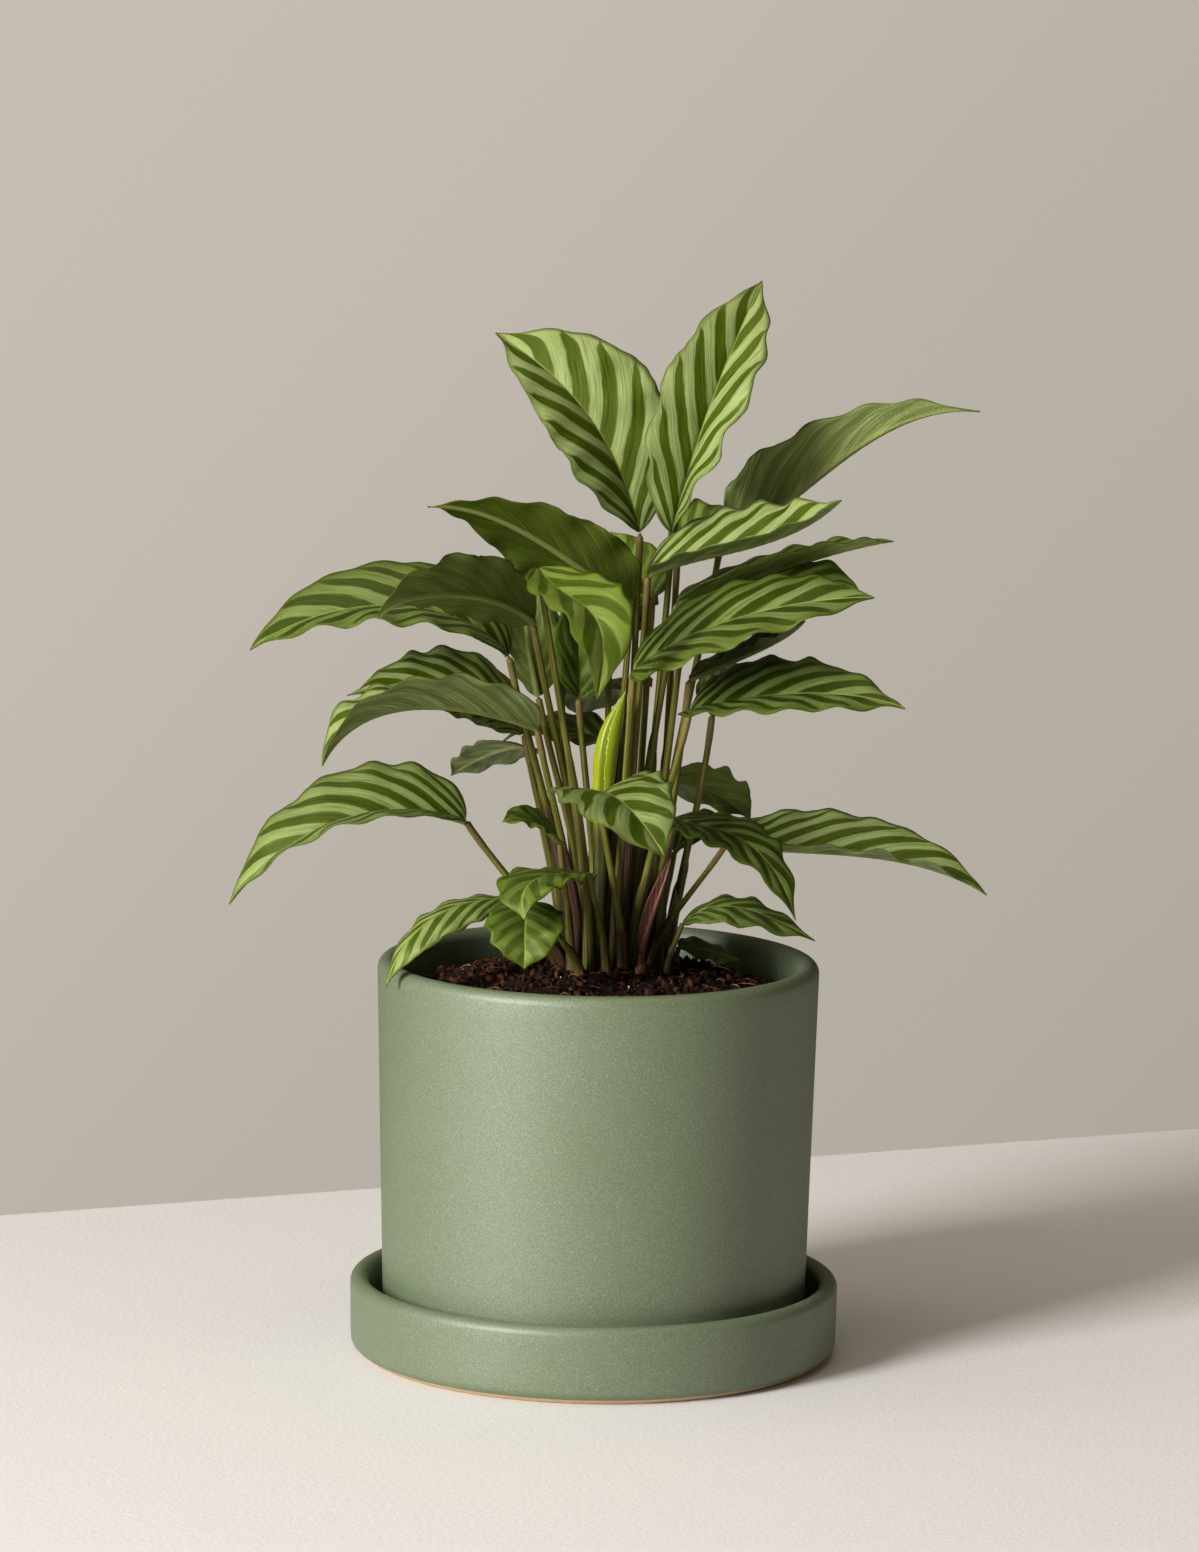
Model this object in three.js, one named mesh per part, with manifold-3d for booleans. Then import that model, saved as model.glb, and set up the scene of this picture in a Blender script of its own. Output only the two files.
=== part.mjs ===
// Potted prayer plant: striped leaves on long stems, growing in a glazed pot that stands in its saucer.
// Millimetres, +Z up. The origin is the middle of the saucer's flat underside.
import * as THREE from 'three';
import { mergeVertices } from 'three/addons/utils/BufferGeometryUtils.js';
import Module from 'manifold-3d';

const wasm = await Module();
wasm.setup();

// Driving dimensions of the saucer
const SAUCER_RADIUS = 91.6;
const SAUCER_HEIGHT = 29.1;
const SAUCER_FLOOR = 6;
const SAUCER_WALL = 6.9;
const SAUCER_FOOT_INSET = 5.5;
const SAUCER_COVE = 4;

// Driving dimensions of the pot, which stands on the saucer's floor
const POT_RIM_RADIUS = 82.5;
const POT_BASE_RADIUS = 79.1;
const POT_TOP = 149.3;
const POT_WALL = 7.8;
const POT_FLOOR_THICKNESS = 9;
const POT_FOOT_HEIGHT = 2;
const POT_FOOT_WIDTH = 18;
const POT_COVE = 5;
const DRAIN_RADIUS = 7;

// Sides of the turned pieces
const TURNED_SIDES = 44;
const SOIL_SIDES = 32;

// Driving dimensions of the soil: a mound, highest round the stems
const SOIL_CENTRE = 148;
const SOIL_AT_WALL = 133;
const SOIL_GAP = 0.5;
const LUMP_HEIGHT = 1.1;
const SOIL_RINGS = [68, 56, 44, 32, 24, 15];
const SMOOTH_SOIL_RADIUS = 26;

// Where the stems come out of the soil: a close-packed patch
const CLUMP_X = 6;
const FOOT_PITCH = 6.4;
const FOOT_ROW_PITCH = 5.6;
const FOOT_DEPTH = 16;
const FOOT_GAP = 0.3;
const HOLE_CLEARANCE = 0.5;
const HOLE_SIDES = 8;
const HOLE_ABOVE_SOIL = 12;

// A leaf's stem and blade
const STEM_FOOT_RADIUS = 2.2;
const STEM_TOP_RADIUS = 1.6;
const BLADE_THICKNESS = 0.7;
const RIB_DEPTH = 0.5;
const BLADE_CURL = 24;
const JOINT_SWELL = 1.1;
const STEM_SHARES = [0.35, 0.7];

const COLOURS = {
  glaze: 0x8f9c7a,
  soil: 0x3a2a20,
  leaf: 0x5c7a2e,
  newLeaf: 0xa9c23a,
  sheath: 0x6e3f2c,
};

function material(colour, roughness) {
  return new THREE.MeshStandardMaterial({ color: colour, roughness, metalness: 0 });
}

const degrees = THREE.MathUtils.degToRad;

// Closed meshes

function signedVolume(positions, indices) {
  const corner = (i) => new THREE.Vector3().fromArray(positions, indices[i] * 3);
  let volume = 0;
  for (let i = 0; i < indices.length; i += 3) {
    volume += corner(i).dot(corner(i + 1).cross(corner(i + 2))) / 6;
  }
  return volume;
}

function facingOut(positions, indices) {
  if (signedVolume(positions, indices) < 0) {
    for (let i = 0; i < indices.length; i += 3) {
      [indices[i + 1], indices[i + 2]] = [indices[i + 2], indices[i + 1]];
    }
  }
  return indices;
}

function closedMesh(positions, indices) {
  const geometry = new THREE.BufferGeometry();
  geometry.setAttribute('position', new THREE.Float32BufferAttribute(positions, 3));
  geometry.setIndex(facingOut(positions, indices));
  geometry.computeVertexNormals();
  return geometry;
}

function welded(source) {
  const bare = source.clone();
  bare.deleteAttribute('normal');
  bare.deleteAttribute('uv');
  const merged = mergeVertices(bare, 1e-4);
  const kept = [];
  const index = merged.index.array;
  for (let i = 0; i < index.length; i += 3) {
    const [a, b, c] = [index[i], index[i + 1], index[i + 2]];
    if (a !== b && b !== c && c !== a) kept.push(a, b, c);
  }
  return closedMesh(Array.from(merged.attributes.position.array), kept);
}

function toSolid(geometry) {
  const mesh = new wasm.Mesh({
    numProp: 3,
    vertProperties: new Float32Array(geometry.attributes.position.array),
    triVerts: new Uint32Array(geometry.index.array),
  });
  mesh.merge();
  return new wasm.Manifold(mesh);
}

function fromSolid(solid) {
  const mesh = solid.getMesh();
  return closedMesh(Array.from(mesh.vertProperties), Array.from(mesh.triVerts));
}

// Turned pieces

function turned(profile, sides = TURNED_SIDES) {
  const points = profile.map(([radius, height]) => new THREE.Vector2(radius, height));
  const lathe = new THREE.LatheGeometry(points, sides);
  lathe.rotateX(Math.PI / 2);
  return welded(lathe);
}

// A rounded lip as a half circle of profile points, from the outer wall over to the inner wall
function lip(outerRadius, top, wall, steps = 6) {
  const round = wall / 2;
  const points = [];
  for (let i = 0; i <= steps; i += 1) {
    const angle = (Math.PI * i) / steps;
    points.push([outerRadius - round + round * Math.cos(angle), top - round + round * Math.sin(angle)]);
  }
  return points;
}

function saucer() {
  const inner = SAUCER_RADIUS - SAUCER_WALL;
  return turned([
    [0, 0],
    [SAUCER_RADIUS - SAUCER_FOOT_INSET, 0],
    [SAUCER_RADIUS - SAUCER_FOOT_INSET * 0.36, 1.6],
    [SAUCER_RADIUS - SAUCER_FOOT_INSET * 0.1, SAUCER_FLOOR],
    ...lip(SAUCER_RADIUS, SAUCER_HEIGHT, SAUCER_WALL),
    [inner - SAUCER_COVE * 0.15, SAUCER_FLOOR + SAUCER_COVE],
    [inner - SAUCER_COVE, SAUCER_FLOOR],
    [0, SAUCER_FLOOR],
  ]);
}

const potFloorTop = SAUCER_FLOOR + POT_FLOOR_THICKNESS;

function potInnerRadius(height) {
  const share = (height - SAUCER_FLOOR) / (POT_TOP - SAUCER_FLOOR);
  return THREE.MathUtils.lerp(POT_BASE_RADIUS, POT_RIM_RADIUS, share) - POT_WALL;
}

function pot() {
  const underside = SAUCER_FLOOR + POT_FOOT_HEIGHT;
  const chamfer = 3;
  const footOuter = POT_BASE_RADIUS - chamfer;
  const footInner = footOuter - POT_FOOT_WIDTH;
  return turned([
    [DRAIN_RADIUS, underside],
    [footInner - POT_FOOT_HEIGHT, underside],
    [footInner, SAUCER_FLOOR],
    [footOuter, SAUCER_FLOOR],
    [POT_BASE_RADIUS, SAUCER_FLOOR + chamfer],
    ...lip(POT_RIM_RADIUS, POT_TOP, POT_WALL),
    [potInnerRadius(potFloorTop + POT_COVE), potFloorTop + POT_COVE],
    [potInnerRadius(potFloorTop) - POT_COVE, potFloorTop],
    [DRAIN_RADIUS, potFloorTop],
    [DRAIN_RADIUS, underside],
  ]);
}

// Soil

function soilHeight(x, y) {
  const share = (x * x + y * y) / (potInnerRadius(SOIL_AT_WALL) ** 2);
  return THREE.MathUtils.lerp(SOIL_CENTRE, SOIL_AT_WALL, share);
}

function lumps(x, y) {
  const coarse = Math.sin(x * 0.21 + 1.3) * Math.cos(y * 0.24 + 0.4);
  const fine = Math.sin(x * 0.47 + y * 0.39) * 0.6;
  return LUMP_HEIGHT * (coarse + fine);
}

function soilBlock() {
  const wallRadius = (height) => potInnerRadius(height) - SOIL_GAP;
  const cove = POT_COVE + 1;
  const block = turned([
    [0, potFloorTop],
    [wallRadius(potFloorTop) - cove, potFloorTop],
    [wallRadius(potFloorTop + cove), potFloorTop + cove],
    [wallRadius(SOIL_AT_WALL), SOIL_AT_WALL],
    ...SOIL_RINGS.map((radius) => [radius, soilHeight(radius, 0)]),
    [0, SOIL_CENTRE],
  ], SOIL_SIDES);
  const place = block.attributes.position;
  for (let i = 0; i < place.count; i += 1) {
    const [x, y, z] = [place.getX(i), place.getY(i), place.getZ(i)];
    const radius = Math.hypot(x, y);
    if (z > SOIL_AT_WALL && radius > SMOOTH_SOIL_RADIUS) place.setZ(i, z + lumps(x, y));
  }
  return block;
}

// Holes that the stems stand in
function soil(feet) {
  let solid = toSolid(soilBlock());
  for (const foot of feet) {
    const radius = foot.radius + HOLE_CLEARANCE;
    const length = FOOT_DEPTH + FOOT_GAP + HOLE_ABOVE_SOIL;
    const hole = new THREE.CylinderGeometry(radius, radius, length, HOLE_SIDES);
    hole.rotateX(Math.PI / 2);
    hole.translate(foot.x, foot.y, foot.z + HOLE_ABOVE_SOIL - length / 2);
    solid = solid.subtract(toSolid(welded(hole)));
  }
  return fromSolid(solid);
}

// The close-packed patch of feet, by column and row; every other row is shifted by half a pitch
function footPlace([column, row]) {
  const shift = Math.abs(row) % 2 === 1 ? 0.5 : 0;
  const x = CLUMP_X + FOOT_PITCH * (column + shift);
  const y = FOOT_ROW_PITCH * row;
  return new THREE.Vector3(x, y, soilHeight(x, y));
}

// Leaves

// A cubic curve through four points at a third and two thirds of its way
function curveThrough([a, b, c, d]) {
  const at = (p) => new THREE.Vector3(...p);
  const [start, third, twoThirds, end] = [at(a), at(b), at(c), at(d)];
  const first = start.clone().multiplyScalar(-5).addScaledVector(third, 18)
    .addScaledVector(twoThirds, -9).addScaledVector(end, 2).divideScalar(6);
  const second = end.clone().multiplyScalar(-5).addScaledVector(twoThirds, 18)
    .addScaledVector(third, -9).addScaledVector(start, 2).divideScalar(6);
  return new THREE.CubicBezierCurve3(start, first, second, end);
}

// Rises straight out of the soil, then leans to the blade; sway pushes its middle sideways
function stemCurve(foot, blade, sway) {
  const start = foot.clone();
  const height = blade.z - foot.z;
  const push = new THREE.Vector3(sway[0], sway[1], 0).multiplyScalar(4 / 3);
  const first = start.clone().add(new THREE.Vector3(0, 0, height * 0.3)).add(push);
  const second = start.clone().lerp(blade, 0.7).add(push);
  return new THREE.CubicBezierCurve3(start, first, second, blade);
}

// How wide the blade is at a share of its length, next to its widest
function bladeShare([rise, fall], along) {
  const peak = rise / (rise + fall);
  const shape = (t) => t ** rise * (1 - t) ** fall;
  return shape(along) / shape(peak);
}

// Direction of the upper face along the curve, carried from near its middle to both ends
function frameAlong(curve, face) {
  const middle = curve.getTangent(0.4);
  const across = new THREE.Vector3(...face);
  across.addScaledVector(middle, -across.dot(middle)).normalize();
  return (along) => {
    const tangent = curve.getTangent(along);
    const turn = new THREE.Quaternion().setFromUnitVectors(middle, tangent);
    const up = across.clone().applyQuaternion(turn);
    return { place: curve.getPoint(along), tangent, up, right: tangent.clone().cross(up) };
  };
}

// Waves of the margin: crests and troughs fall on the rings, more lively on some leaves
function ripple(leaf, along, side) {
  const swell = Math.sin(Math.PI * along) ** 0.6;
  const beat = Math.sin(Math.PI * leaf.waves * along);
  const uneven = 0.75 + 0.25 * Math.sin(5.1 * along + side * leaf.seed);
  const lean = side < 0 ? 1 : leaf.mirror;
  return leaf.wave * swell * beat * uneven * lean;
}

// Every ring of a leaf has ten points, so that the round stem runs into the flat blade
const ROUND_SIDES = 10;
const ROUND_STEP = 360 / ROUND_SIDES;
const ROUND_START = 162;
const ACROSS = [-1, -0.5, 0, 0.5, 1];

function roundRing({ place, up, right }, radius) {
  const ring = [];
  for (let k = 0; k < ROUND_SIDES; k += 1) {
    const angle = degrees(ROUND_START - ROUND_STEP * k);
    ring.push(place.clone()
      .addScaledVector(right, radius * Math.cos(angle))
      .addScaledVector(up, radius * Math.sin(angle)));
  }
  return ring;
}

function bladeRing(leaf, frame, along) {
  const { place, up, right } = frame(along);
  const upper = [];
  const lower = [];
  const half = Math.max(bladeShare(leaf.shape, along), 0.02);
  for (const v of ACROSS) {
    const side = v < 0 ? -1 : 1;
    const reach = Math.abs(v);
    const hand = v < 0 ? 0 : 1;
    const fold = THREE.MathUtils.lerp(leaf.fold[hand], leaf.tipFold[hand], along);
    const angle = degrees(fold + (BLADE_CURL * (1 - reach)) / 2) * Math.sign(reach);
    const width = leaf.half[hand] * half * reach;
    const out = right.clone().multiplyScalar(side * Math.cos(angle)).addScaledVector(up, Math.sin(angle));
    const normal = up.clone().multiplyScalar(Math.cos(angle)).addScaledVector(right, -side * Math.sin(angle));
    const point = place.clone().addScaledVector(out, width)
      .addScaledVector(normal, ripple(leaf, along, side) * reach ** 2);
    const rib = reach === 0 ? RIB_DEPTH * (1 - along) : 0;
    upper.push(point.clone().addScaledVector(normal, BLADE_THICKNESS / 2));
    lower.push(point.clone().addScaledVector(normal, -BLADE_THICKNESS / 2 - rib));
  }
  return [...upper, ...lower.reverse()];
}

// Skins a row of ten-point rings; both faces of the blade are split into triangles alike
function skin(rings) {
  const positions = rings.flat().flatMap((p) => [p.x, p.y, p.z]);
  const indices = [];
  const count = ROUND_SIDES;
  for (let i = 0; i + 1 < rings.length; i += 1) {
    for (let k = 0; k < count; k += 1) {
      const next = (k + 1) % count;
      const [a, b] = [i * count + k, i * count + next];
      const [c, d] = [(i + 1) * count + next, (i + 1) * count + k];
      if (k < count / 2) indices.push(a, b, c, a, c, d);
      else indices.push(a, b, d, b, c, d);
    }
  }
  for (const [start, flip] of [[0, true], [(rings.length - 1) * count, false]]) {
    for (let k = 0; k < 4; k += 1) {
      const quad = [start + k, start + k + 1, start + 8 - k, start + 9 - k];
      const [a, b, c, d] = flip ? quad.reverse() : quad;
      indices.push(a, b, c, a, c, d);
    }
  }
  return closedMesh(positions, indices);
}

// One leaf, grown as one piece: foot in the soil, stem, swollen joint and blade
function leafShape(leaf) {
  const foot = footPlace(leaf.foot);
  const rib = curveThrough(leaf.rib);
  const frame = frameAlong(rib, leaf.face);
  const base = frame(0);
  const stem = stemCurve(foot, base.place, leaf.sway);
  const thick = leaf.thick;
  const ringOnStem = (place, tangent, radius) => {
    const turn = new THREE.Quaternion().setFromUnitVectors(base.tangent, tangent);
    const up = base.up.clone().applyQuaternion(turn);
    return roundRing({ place, up, right: tangent.clone().cross(up) }, radius);
  };
  const upright = new THREE.Vector3(0, 0, 1);
  const buried = foot.clone().setZ(foot.z - FOOT_DEPTH);
  const rings = [
    ringOnStem(buried, upright, STEM_FOOT_RADIUS * thick),
    ringOnStem(foot, upright, STEM_FOOT_RADIUS * thick),
  ];
  for (const share of STEM_SHARES) {
    const radius = THREE.MathUtils.lerp(STEM_FOOT_RADIUS, STEM_TOP_RADIUS, share ** 0.5) * thick;
    rings.push(ringOnStem(stem.getPoint(share), stem.getTangent(share), radius));
  }
  const joint = stem.getTangent(1).add(base.tangent).normalize();
  rings.push(ringOnStem(base.place, joint, STEM_TOP_RADIUS * JOINT_SWELL * thick));
  for (let i = 0; i < leaf.waves; i += 1) rings.push(bladeRing(leaf, frame, (i + 0.5) / leaf.waves));
  rings.push(bladeRing(leaf, frame, 1));
  return skin(rings);
}

// Each leaf: the place of its foot, four points of its midrib from base to tip, where its upper face
// looks, its left and right half widths, how far each half folds up at its base (and, where it
// changes, at its tip), and the height of its waves.
const LEAVES = {
  leaf_crown_left: {
    foot: [0, 1], rib: [[13, 16, 308], [2, 15, 337], [-15, 19, 360], [-42, 32, 380]],
    face: [0.05, -0.95, 0.3], half: [22, 28], fold: [28, 12], tipFold: [42, -5], wave: 1.4, shape: [0.8, 0.83],
  },
  leaf_crown_right: {
    foot: [1, 1], rib: [[25, 4, 309], [33, 2, 341], [44, 10, 372], [57, 32, 401]],
    face: [-0.1, -0.95, 0.25], half: [20, 18], fold: [32, 78], tipFold: [12, 5], wave: 1.6, shape: [0.7, 0.83],
  },
  leaf_right_high: {
    foot: [2, 2], rib: [[44, 34, 305], [70, 30, 320], [101, 26, 344], [139, 24, 354]],
    face: [-0.4, 0, 1], half: [16, 22], fold: [70, 75], wave: 1.6, shape: [0.6, 1.3],
  },
  leaf_right_pale: {
    foot: [0, -1], rib: [[16, -8, 295], [39, -14, 303], [64, -22, 311], [86, -32, 326]],
    face: [0, 0, 1], half: [21, 19], fold: [45, 12], wave: 1.3,
  },
  leaf_right_thin: {
    foot: [1, 0], rib: [[27, -1, 284], [52, 2, 292], [80, 4, 301], [107, 6, 307]],
    face: [0, 0, 1], half: [18, 18], fold: [14, 25], wave: 1.3, sway: [-1, 1],
  },
  leaf_right_broad: {
    foot: [0, -2], rib: [[11, -22, 261], [35, -33, 277], [66, -44, 288], [98, -50, 292.5]],
    face: [0, 0, 1], half: [26, 27], fold: [31, -20], wave: 1.5, shape: [0.45, 0.8],
  },
  leaf_right_behind: {
    foot: [2, 0], rib: [[29, -3, 271], [50, -2, 283], [73, -5, 292], [94, -10, 290]],
    face: [0, 0, 1], half: [20, 18], fold: [26, 0], wave: 1.5,
  },
  leaf_right_middle: {
    foot: [1, -2], rib: [[32, -20, 245], [52, -30, 252], [81, -42, 256], [110, -50, 252]],
    face: [0, 0, 1], half: [24, 22], fold: [32, 2], wave: 1.6, shape: [0.45, 1], tipFold: [32, -26],
  },
  leaf_right_shaded: {
    foot: [2, -1], rib: [[32, -6, 256], [47, -9, 263], [63, -14, 271], [74, -20, 280]],
    face: [0, 0, 1], half: [15, 15], fold: [24, 12], wave: 1.2, waves: 8, sway: [0, 1.5],
  },
  leaf_left_high: {
    foot: [-1, -1], rib: [[10, -4, 284], [-10, -14, 298], [-36, -22, 314], [-65, -30, 321]],
    face: [0.25, 0.85, 0.4], half: [19, 22], fold: [10, 10], wave: 1.4, shape: [0.6, 1.3],
  },
  leaf_left_folded: {
    foot: [-2, -1], rib: [[-26, -22, 278], [-42, -45, 289], [-63, -70, 293], [-81, -82, 286]],
    face: [-0.6, 0.75, 0.2], half: [16, 13], fold: [5, 35], tipFold: [-5, 60], wave: 1.4,
  },
  leaf_left_broad: {
    foot: [-3, -1], rib: [[-35, -8, 264], [-60, -12, 280], [-95, -16, 281], [-130, -20, 266]],
    face: [0, 0, 1], half: [24, 24], fold: [-8, 38], wave: 1.5, sway: [0, 0],
  },
  leaf_left_behind: {
    foot: [-3, 0], rib: [[-29, -1, 234], [-47, -5, 250], [-69, -13, 254], [-94, -22, 250]],
    face: [0, 0, 1], half: [23, 19], fold: [-28, 42], wave: 1.4, shape: [0.6, 1.1],
  },
  leaf_left_middle: {
    foot: [-2, -2], rib: [[-24, -22, 239], [-51, -40, 248], [-80, -56, 248], [-101, -66, 230]],
    face: [0, 0, 1], half: [20, 20], fold: [36, 5], tipFold: [50, 30], wave: 1.4,
  },
  leaf_left_small: {
    foot: [-3, 1], rib: [[-28, 10, 227], [-35, 22, 225], [-46, 34, 219], [-57, 44, 211]],
    face: [0, 0.5, 0.9], half: [12, 12], fold: [0, 0], wave: 1, waves: 8, thick: 0.8,
  },
  leaf_left_low: {
    foot: [-4, -1], rib: [[-50, -10, 202], [-76, -14, 206], [-107, -18, 198], [-137, -20, 171]],
    face: [0, 0, 1], half: [23, 23], fold: [4, 44], wave: 1.4, shape: [0.5, 0.85],
  },
  leaf_front_lime: {
    foot: [-2, -3], rib: [[-24, -27, 299], [-12, -50, 291], [-2, -66, 283], [-2, -66, 256]],
    face: [0.1, -0.55, 0.85], half: [16, 16], fold: [15, 20], wave: 1.2, waves: 9, sway: [0, 5],
  },
  leaf_left_olive: {
    foot: [-2, 1], rib: [[-24, 6, 247], [-27, 6, 261], [-29, 8, 276], [-29, 16, 295]],
    face: [0.2, 0.95, 0], half: [12, 8], fold: [10, 10], wave: 1, waves: 8,
  },
  leaf_middle_dark: {
    foot: [-1, 0], rib: [[-9, 4, 247], [-9, 6, 260], [-9, 12, 278], [-3, 21, 294]],
    face: [0, -1, 0.2], half: [11, 16], fold: [40, 30], wave: 1.2, waves: 8,
  },
  leaf_back_left: {
    foot: [0, 2], rib: [[8, 16, 249], [3, 33, 250], [-3, 50, 243], [-8, 64, 231]],
    face: [0, 0, 1], half: [17, 17], fold: [-5, -5], wave: 1.3, waves: 9,
  },
  leaf_back_shaded: {
    foot: [-1, 3], rib: [[5, 20, 229], [-6, 30, 230], [-22, 40, 231], [-39, 50, 222]],
    face: [0, 0, 1], half: [13, 13], fold: [-10, 20], wave: 1.1, waves: 8,
  },
  leaf_front_middle: {
    foot: [0, -3], rib: [[-1, -22, 213], [3, -44, 218], [12, -64, 214], [23, -75, 200]],
    face: [-0.1, -0.5, 0.85], half: [20, 24], fold: [6, 22], wave: 1.5,
  },
  leaf_front_small: {
    foot: [-3, -3], rib: [[-15, -26, 197], [-21, -32, 203], [-28, -37, 207], [-36, -42, 207]],
    face: [0, 0, 1], half: [9, 8], fold: [-12, 50], wave: 1, waves: 8, thick: 0.8,
  },
  leaf_right_back: {
    foot: [1, 3], rib: [[15, 24, 212], [30, 38, 211], [45, 50, 204], [57, 58, 194]],
    face: [0, 0.6, 0.8], half: [14, 15], fold: [5, 5], wave: 1.2, waves: 9,
  },
  leaf_right_hanging: {
    foot: [1, -1], rib: [[27, -14, 205], [42, -26, 203], [58, -36, 196], [72, -42, 172]],
    face: [0, 0, 1], half: [13, 13], fold: [18, -10], wave: 1.5, waves: 10,
  },
  leaf_right_long: {
    foot: [2, -2], rib: [[47, 0, 193.5], [78, -2, 191.5], [112, -4, 188.5], [144, -6, 176.5]],
    face: [0, 0, 1], half: [22, 18], fold: [36, 14], wave: 1.4, thick: 0.85, shape: [0.5, 0.85],
  },
  leaf_right_low: {
    foot: [3, -2], rib: [[31, -10, 165], [44, -14, 172], [60, -18, 170], [80, -22, 161]],
    face: [0, 0, 1], half: [11, 12], fold: [12, -22], wave: 1.2, waves: 8, thick: 0.7,
  },
  leaf_right_soil: {
    foot: [3, 1], rib: [[30, 7, 153], [37, 10, 152], [45, 13, 149.5], [53, 16, 146.5]],
    face: [0, -0.3, 0.95], half: [8, 8], fold: [5, -5], wave: 0.7, waves: 6, thick: 0.7,
  },
  leaf_front_left: {
    foot: [-1, -3], rib: [[-4, -28, 186], [-16, -42, 188], [-26, -57, 186], [-27, -67, 175]],
    face: [0, -0.2, 1], half: [14, 15], fold: [5, -8], wave: 1.2, waves: 9, thick: 0.8,
  },
  leaf_front_low: {
    foot: [-2, -4], rib: [[-26, -40, 177], [-27, -52, 172], [-27, -60, 165], [-27, -62, 156]],
    face: [0, -0.5, 0.8], half: [14.5, 14.5], fold: [10, 10], wave: 1.2, waves: 8, thick: 0.8,
  },
  leaf_over_rim: {
    foot: [-3, -2], rib: [[-35, -20, 175], [-51, -30, 174], [-67, -38, 165], [-78, -42, 145]],
    face: [0, 0, 1], half: [11, 6], fold: [-32, 8], wave: 1.2, waves: 9, thick: 0.8,
  },
  leaf_crown_back: {
    foot: [2, 1], rib: [[27, 14, 299], [35, 17, 309], [43, 21, 313], [50, 25, 307]],
    face: [0, 0, 1], half: [13, 13], fold: [30, 10], wave: 1, waves: 8,
  },
  leaf_back_lime: {
    foot: [1, 2], rib: [[18, 20, 283], [13, 30, 291], [8, 40, 298], [2, 50, 304]],
    face: [0, 0, 1], half: [13, 13], fold: [10, 10], wave: 1, waves: 8,
  },
  leaf_left_back: {
    foot: [-2, 2], rib: [[-16, 17, 267], [-31, 29, 277], [-47, 41, 283], [-62, 52, 283]],
    face: [0, 0, 1], half: [14, 14], fold: [10, 10], wave: 1.2, waves: 9, sway: [-2, -3],
  },
  leaf_back_right: {
    foot: [3, 2], rib: [[41, 15, 240], [54, 36, 250], [66, 58, 248], [76, 80, 234]],
    face: [0, 0, 1], half: [18, 18], fold: [12, 12], wave: 1.4, waves: 10, sway: [2, -2],
  },
  leaf_back_middle: {
    foot: [-1, 1], rib: [[2, 14, 262], [2, 38, 276], [4, 66, 277], [6, 92, 262]],
    face: [0, 0, 1], half: [18, 18], fold: [12, 12], wave: 1.4, waves: 10,
  },
  leaf_back_low: {
    foot: [2, 3], rib: [[28, 28, 186], [42, 44, 193], [56, 60, 191], [66, 74, 180]],
    face: [0, 0, 1], half: [13, 13], fold: [12, 12], wave: 1.2, waves: 9, thick: 0.85,
  },
  sheath_red: {
    foot: [1, -3], rib: [[16, -19, 155], [19, -19, 167], [23, -18, 179], [26, -17, 190]],
    face: [-0.6, 0.3, 0.2], half: [4.5, 4.5], fold: [35, 35], wave: 0.1, waves: 5, thick: 0.9,
  },
  sheath_green: {
    foot: [3, 0], rib: [[27, 0, 152], [28, 0, 160], [29, -1, 168], [28, -2, 177]],
    face: [-0.6, 0.3, 0.2], half: [4, 4], fold: [35, 35], wave: 0.1, waves: 5, thick: 0.9,
  },
};

// The newest leaf, still rolled up: points up its middle, with the roll's radius at each
const NEW_LEAF = {
  foot: [-1, -2],
  roll: [[0, -12, 160, 2.2], [0, -12.5, 185, 2.2], [0, -13, 205, 2.6], [1, -13.5, 218, 3.6], [2, -14, 230, 3.9],
    [4, -14, 240, 3], [8, -15, 251, 0.4]],
};
const ROLL_STEP = 0.22;

// What a leaf has unless its own line says otherwise: how many times its margin waves, how far its
// stem sways aside, its stem's thickness, and how fast its blade widens and narrows again
const USUAL = { waves: 11, sway: [0, 0], thick: 1, shape: [0.6, 0.83] };

function describedLeaves() {
  return Object.entries(LEAVES).map(([name, leaf], i) => ({
    name, ...USUAL, mirror: i % 2 ? 1 : -1, seed: i * 0.7, tipFold: leaf.fold, ...leaf,
  }));
}

// A rolled leaf's section winds outwards once, so its free edge stands proud as a step
function rolledLeaf({ foot, roll }) {
  const start = footPlace(foot);
  const round = (place, radius, step) => {
    const ring = [];
    for (let k = 0; k < ROUND_SIDES; k += 1) {
      const angle = degrees(ROUND_START - ROUND_STEP * k);
      const reach = radius * (1 + (step * k) / ROUND_SIDES);
      ring.push(new THREE.Vector3(place.x + reach * Math.cos(angle), place.y + reach * Math.sin(angle), place.z));
    }
    return ring;
  };
  return skin([
    round(start.clone().setZ(start.z - FOOT_DEPTH), STEM_FOOT_RADIUS, 0),
    round(start, STEM_FOOT_RADIUS, 0),
    ...roll.map(([x, y, z, radius]) => round(new THREE.Vector3(x, y, z), radius, ROLL_STEP)),
  ]);
}

// The plant in its pot

const group = new THREE.Group();

function add(name, geometry, colour, roughness) {
  const mesh = new THREE.Mesh(geometry, material(colour, roughness));
  mesh.name = name;
  group.add(mesh);
}

const leaves = describedLeaves();
const feet = [...leaves, { ...USUAL, foot: NEW_LEAF.foot }].map((leaf) => {
  const { x, y, z } = footPlace(leaf.foot);
  return { x, y, z, radius: STEM_FOOT_RADIUS * leaf.thick };
});

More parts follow.
